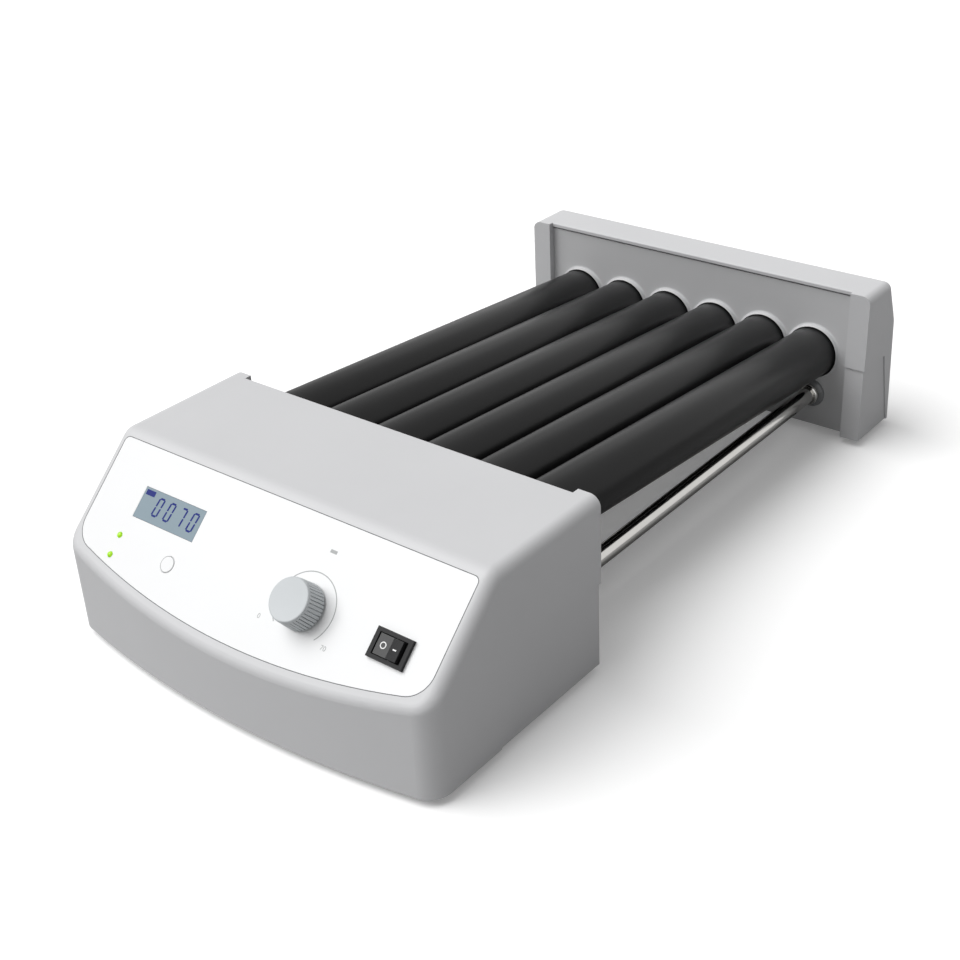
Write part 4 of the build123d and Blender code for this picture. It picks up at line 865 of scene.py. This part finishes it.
# Power switch. A snap-in switch with a black frame and a glossy rocker. O and a dash are printed
# on the rocker in white, and its left end is pressed in at rest.
FRAME_BLACK = (0.016, 0.016, 0.017, 1)
FRAME_WORN = (0.026, 0.026, 0.027, 1)
ROCKER_BLACK = (0.010, 0.010, 0.011, 1)
ROCKER_WORN = (0.018, 0.018, 0.019, 1)
MARK_WHITE = (0.86, 0.86, 0.86, 1)
MARK_SHADE = (0.80, 0.80, 0.80, 1)
FRAME_SHEEN = 0.15
ROCKER_SHEEN = 0.30
MARK_SHARE = 0.5
MARK_LIFT = 0.00001
ZERO_R = 0.00140
ZERO_W = 0.00045
ZERO_FLAT = 0.12
DASH_L = 0.0026
DASH_W = 0.0006

frame_black = skin("frame_black", FRAME_BLACK, FRAME_WORN, 120, 1400, 0.40, 0.52, 0.00004)
rocker_black = skin("rocker_black", ROCKER_BLACK, ROCKER_WORN, 60, 2600, 0.22, 0.30, 0.00001)
mark_white = skin("mark_white", MARK_WHITE, MARK_SHADE, 200, 3000, 0.40, 0.50, 0.000004)
sheen(frame_black, FRAME_SHEEN)
sheen(rocker_black, ROCKER_SHEEN)
coat("switch_bezel", frame_black)
coat("switch_rocker", rocker_black)
rocker_axis = Vector(hinge["power_rock"]["pos_m"]) - knob_place
rocker_flat = [(point.x - rocker_axis.x, point.dot(panel_out)) for point in from_knob("switch_rocker")]
rocker_left = max((spot for spot in rocker_flat if spot[0] < -0.005), key=lambda spot: spot[1])
rocker_right = max((spot for spot in rocker_flat if spot[0] > 0.005), key=lambda spot: spot[1])
rocker_middle = max((spot for spot in rocker_flat if abs(spot[0]) < 0.001), key=lambda spot: spot[1])


def mark_seat(start, end):
    """A place halfway along one of the rocker's two faces, from its start to its end."""
    run = end[0] - start[0]
    rise = end[1] - start[1]
    x = rocker_axis.x + start[0] + MARK_SHARE * run
    place = on_panel(x, -rocker_axis.dot(panel_up), start[1] + MARK_SHARE * rise)
    return place @ Matrix.Rotation(-atan2(rise, run), 4, "Y") @ Matrix.Translation((0, 0, MARK_LIFT))


bpy.ops.mesh.primitive_torus_add(
    major_radius=ZERO_R, minor_radius=ZERO_W / 2, major_segments=64, minor_segments=10)
zero = bpy.context.object
zero.name = "rocker_zero"
zero_seat = mark_seat(rocker_left, rocker_middle) @ Matrix.Diagonal((1, 1, ZERO_FLAT, 1))
fitted(zero, zero_seat, "switch_rocker", "switch_black", mark_white)
bpy.ops.mesh.primitive_plane_add(size=1, enter_editmode=True)
bpy.ops.transform.resize(value=(DASH_L, DASH_W, 1))
dash_seat = mark_seat(rocker_middle, rocker_right)
dash = printed("rocker_dash", dash_seat, mark_white, "switch_black")
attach(dash, "switch_rocker")


# Power inlet. A round low voltage socket in the head's left cheek, in black plastic.
coat("power_inlet", module_black)
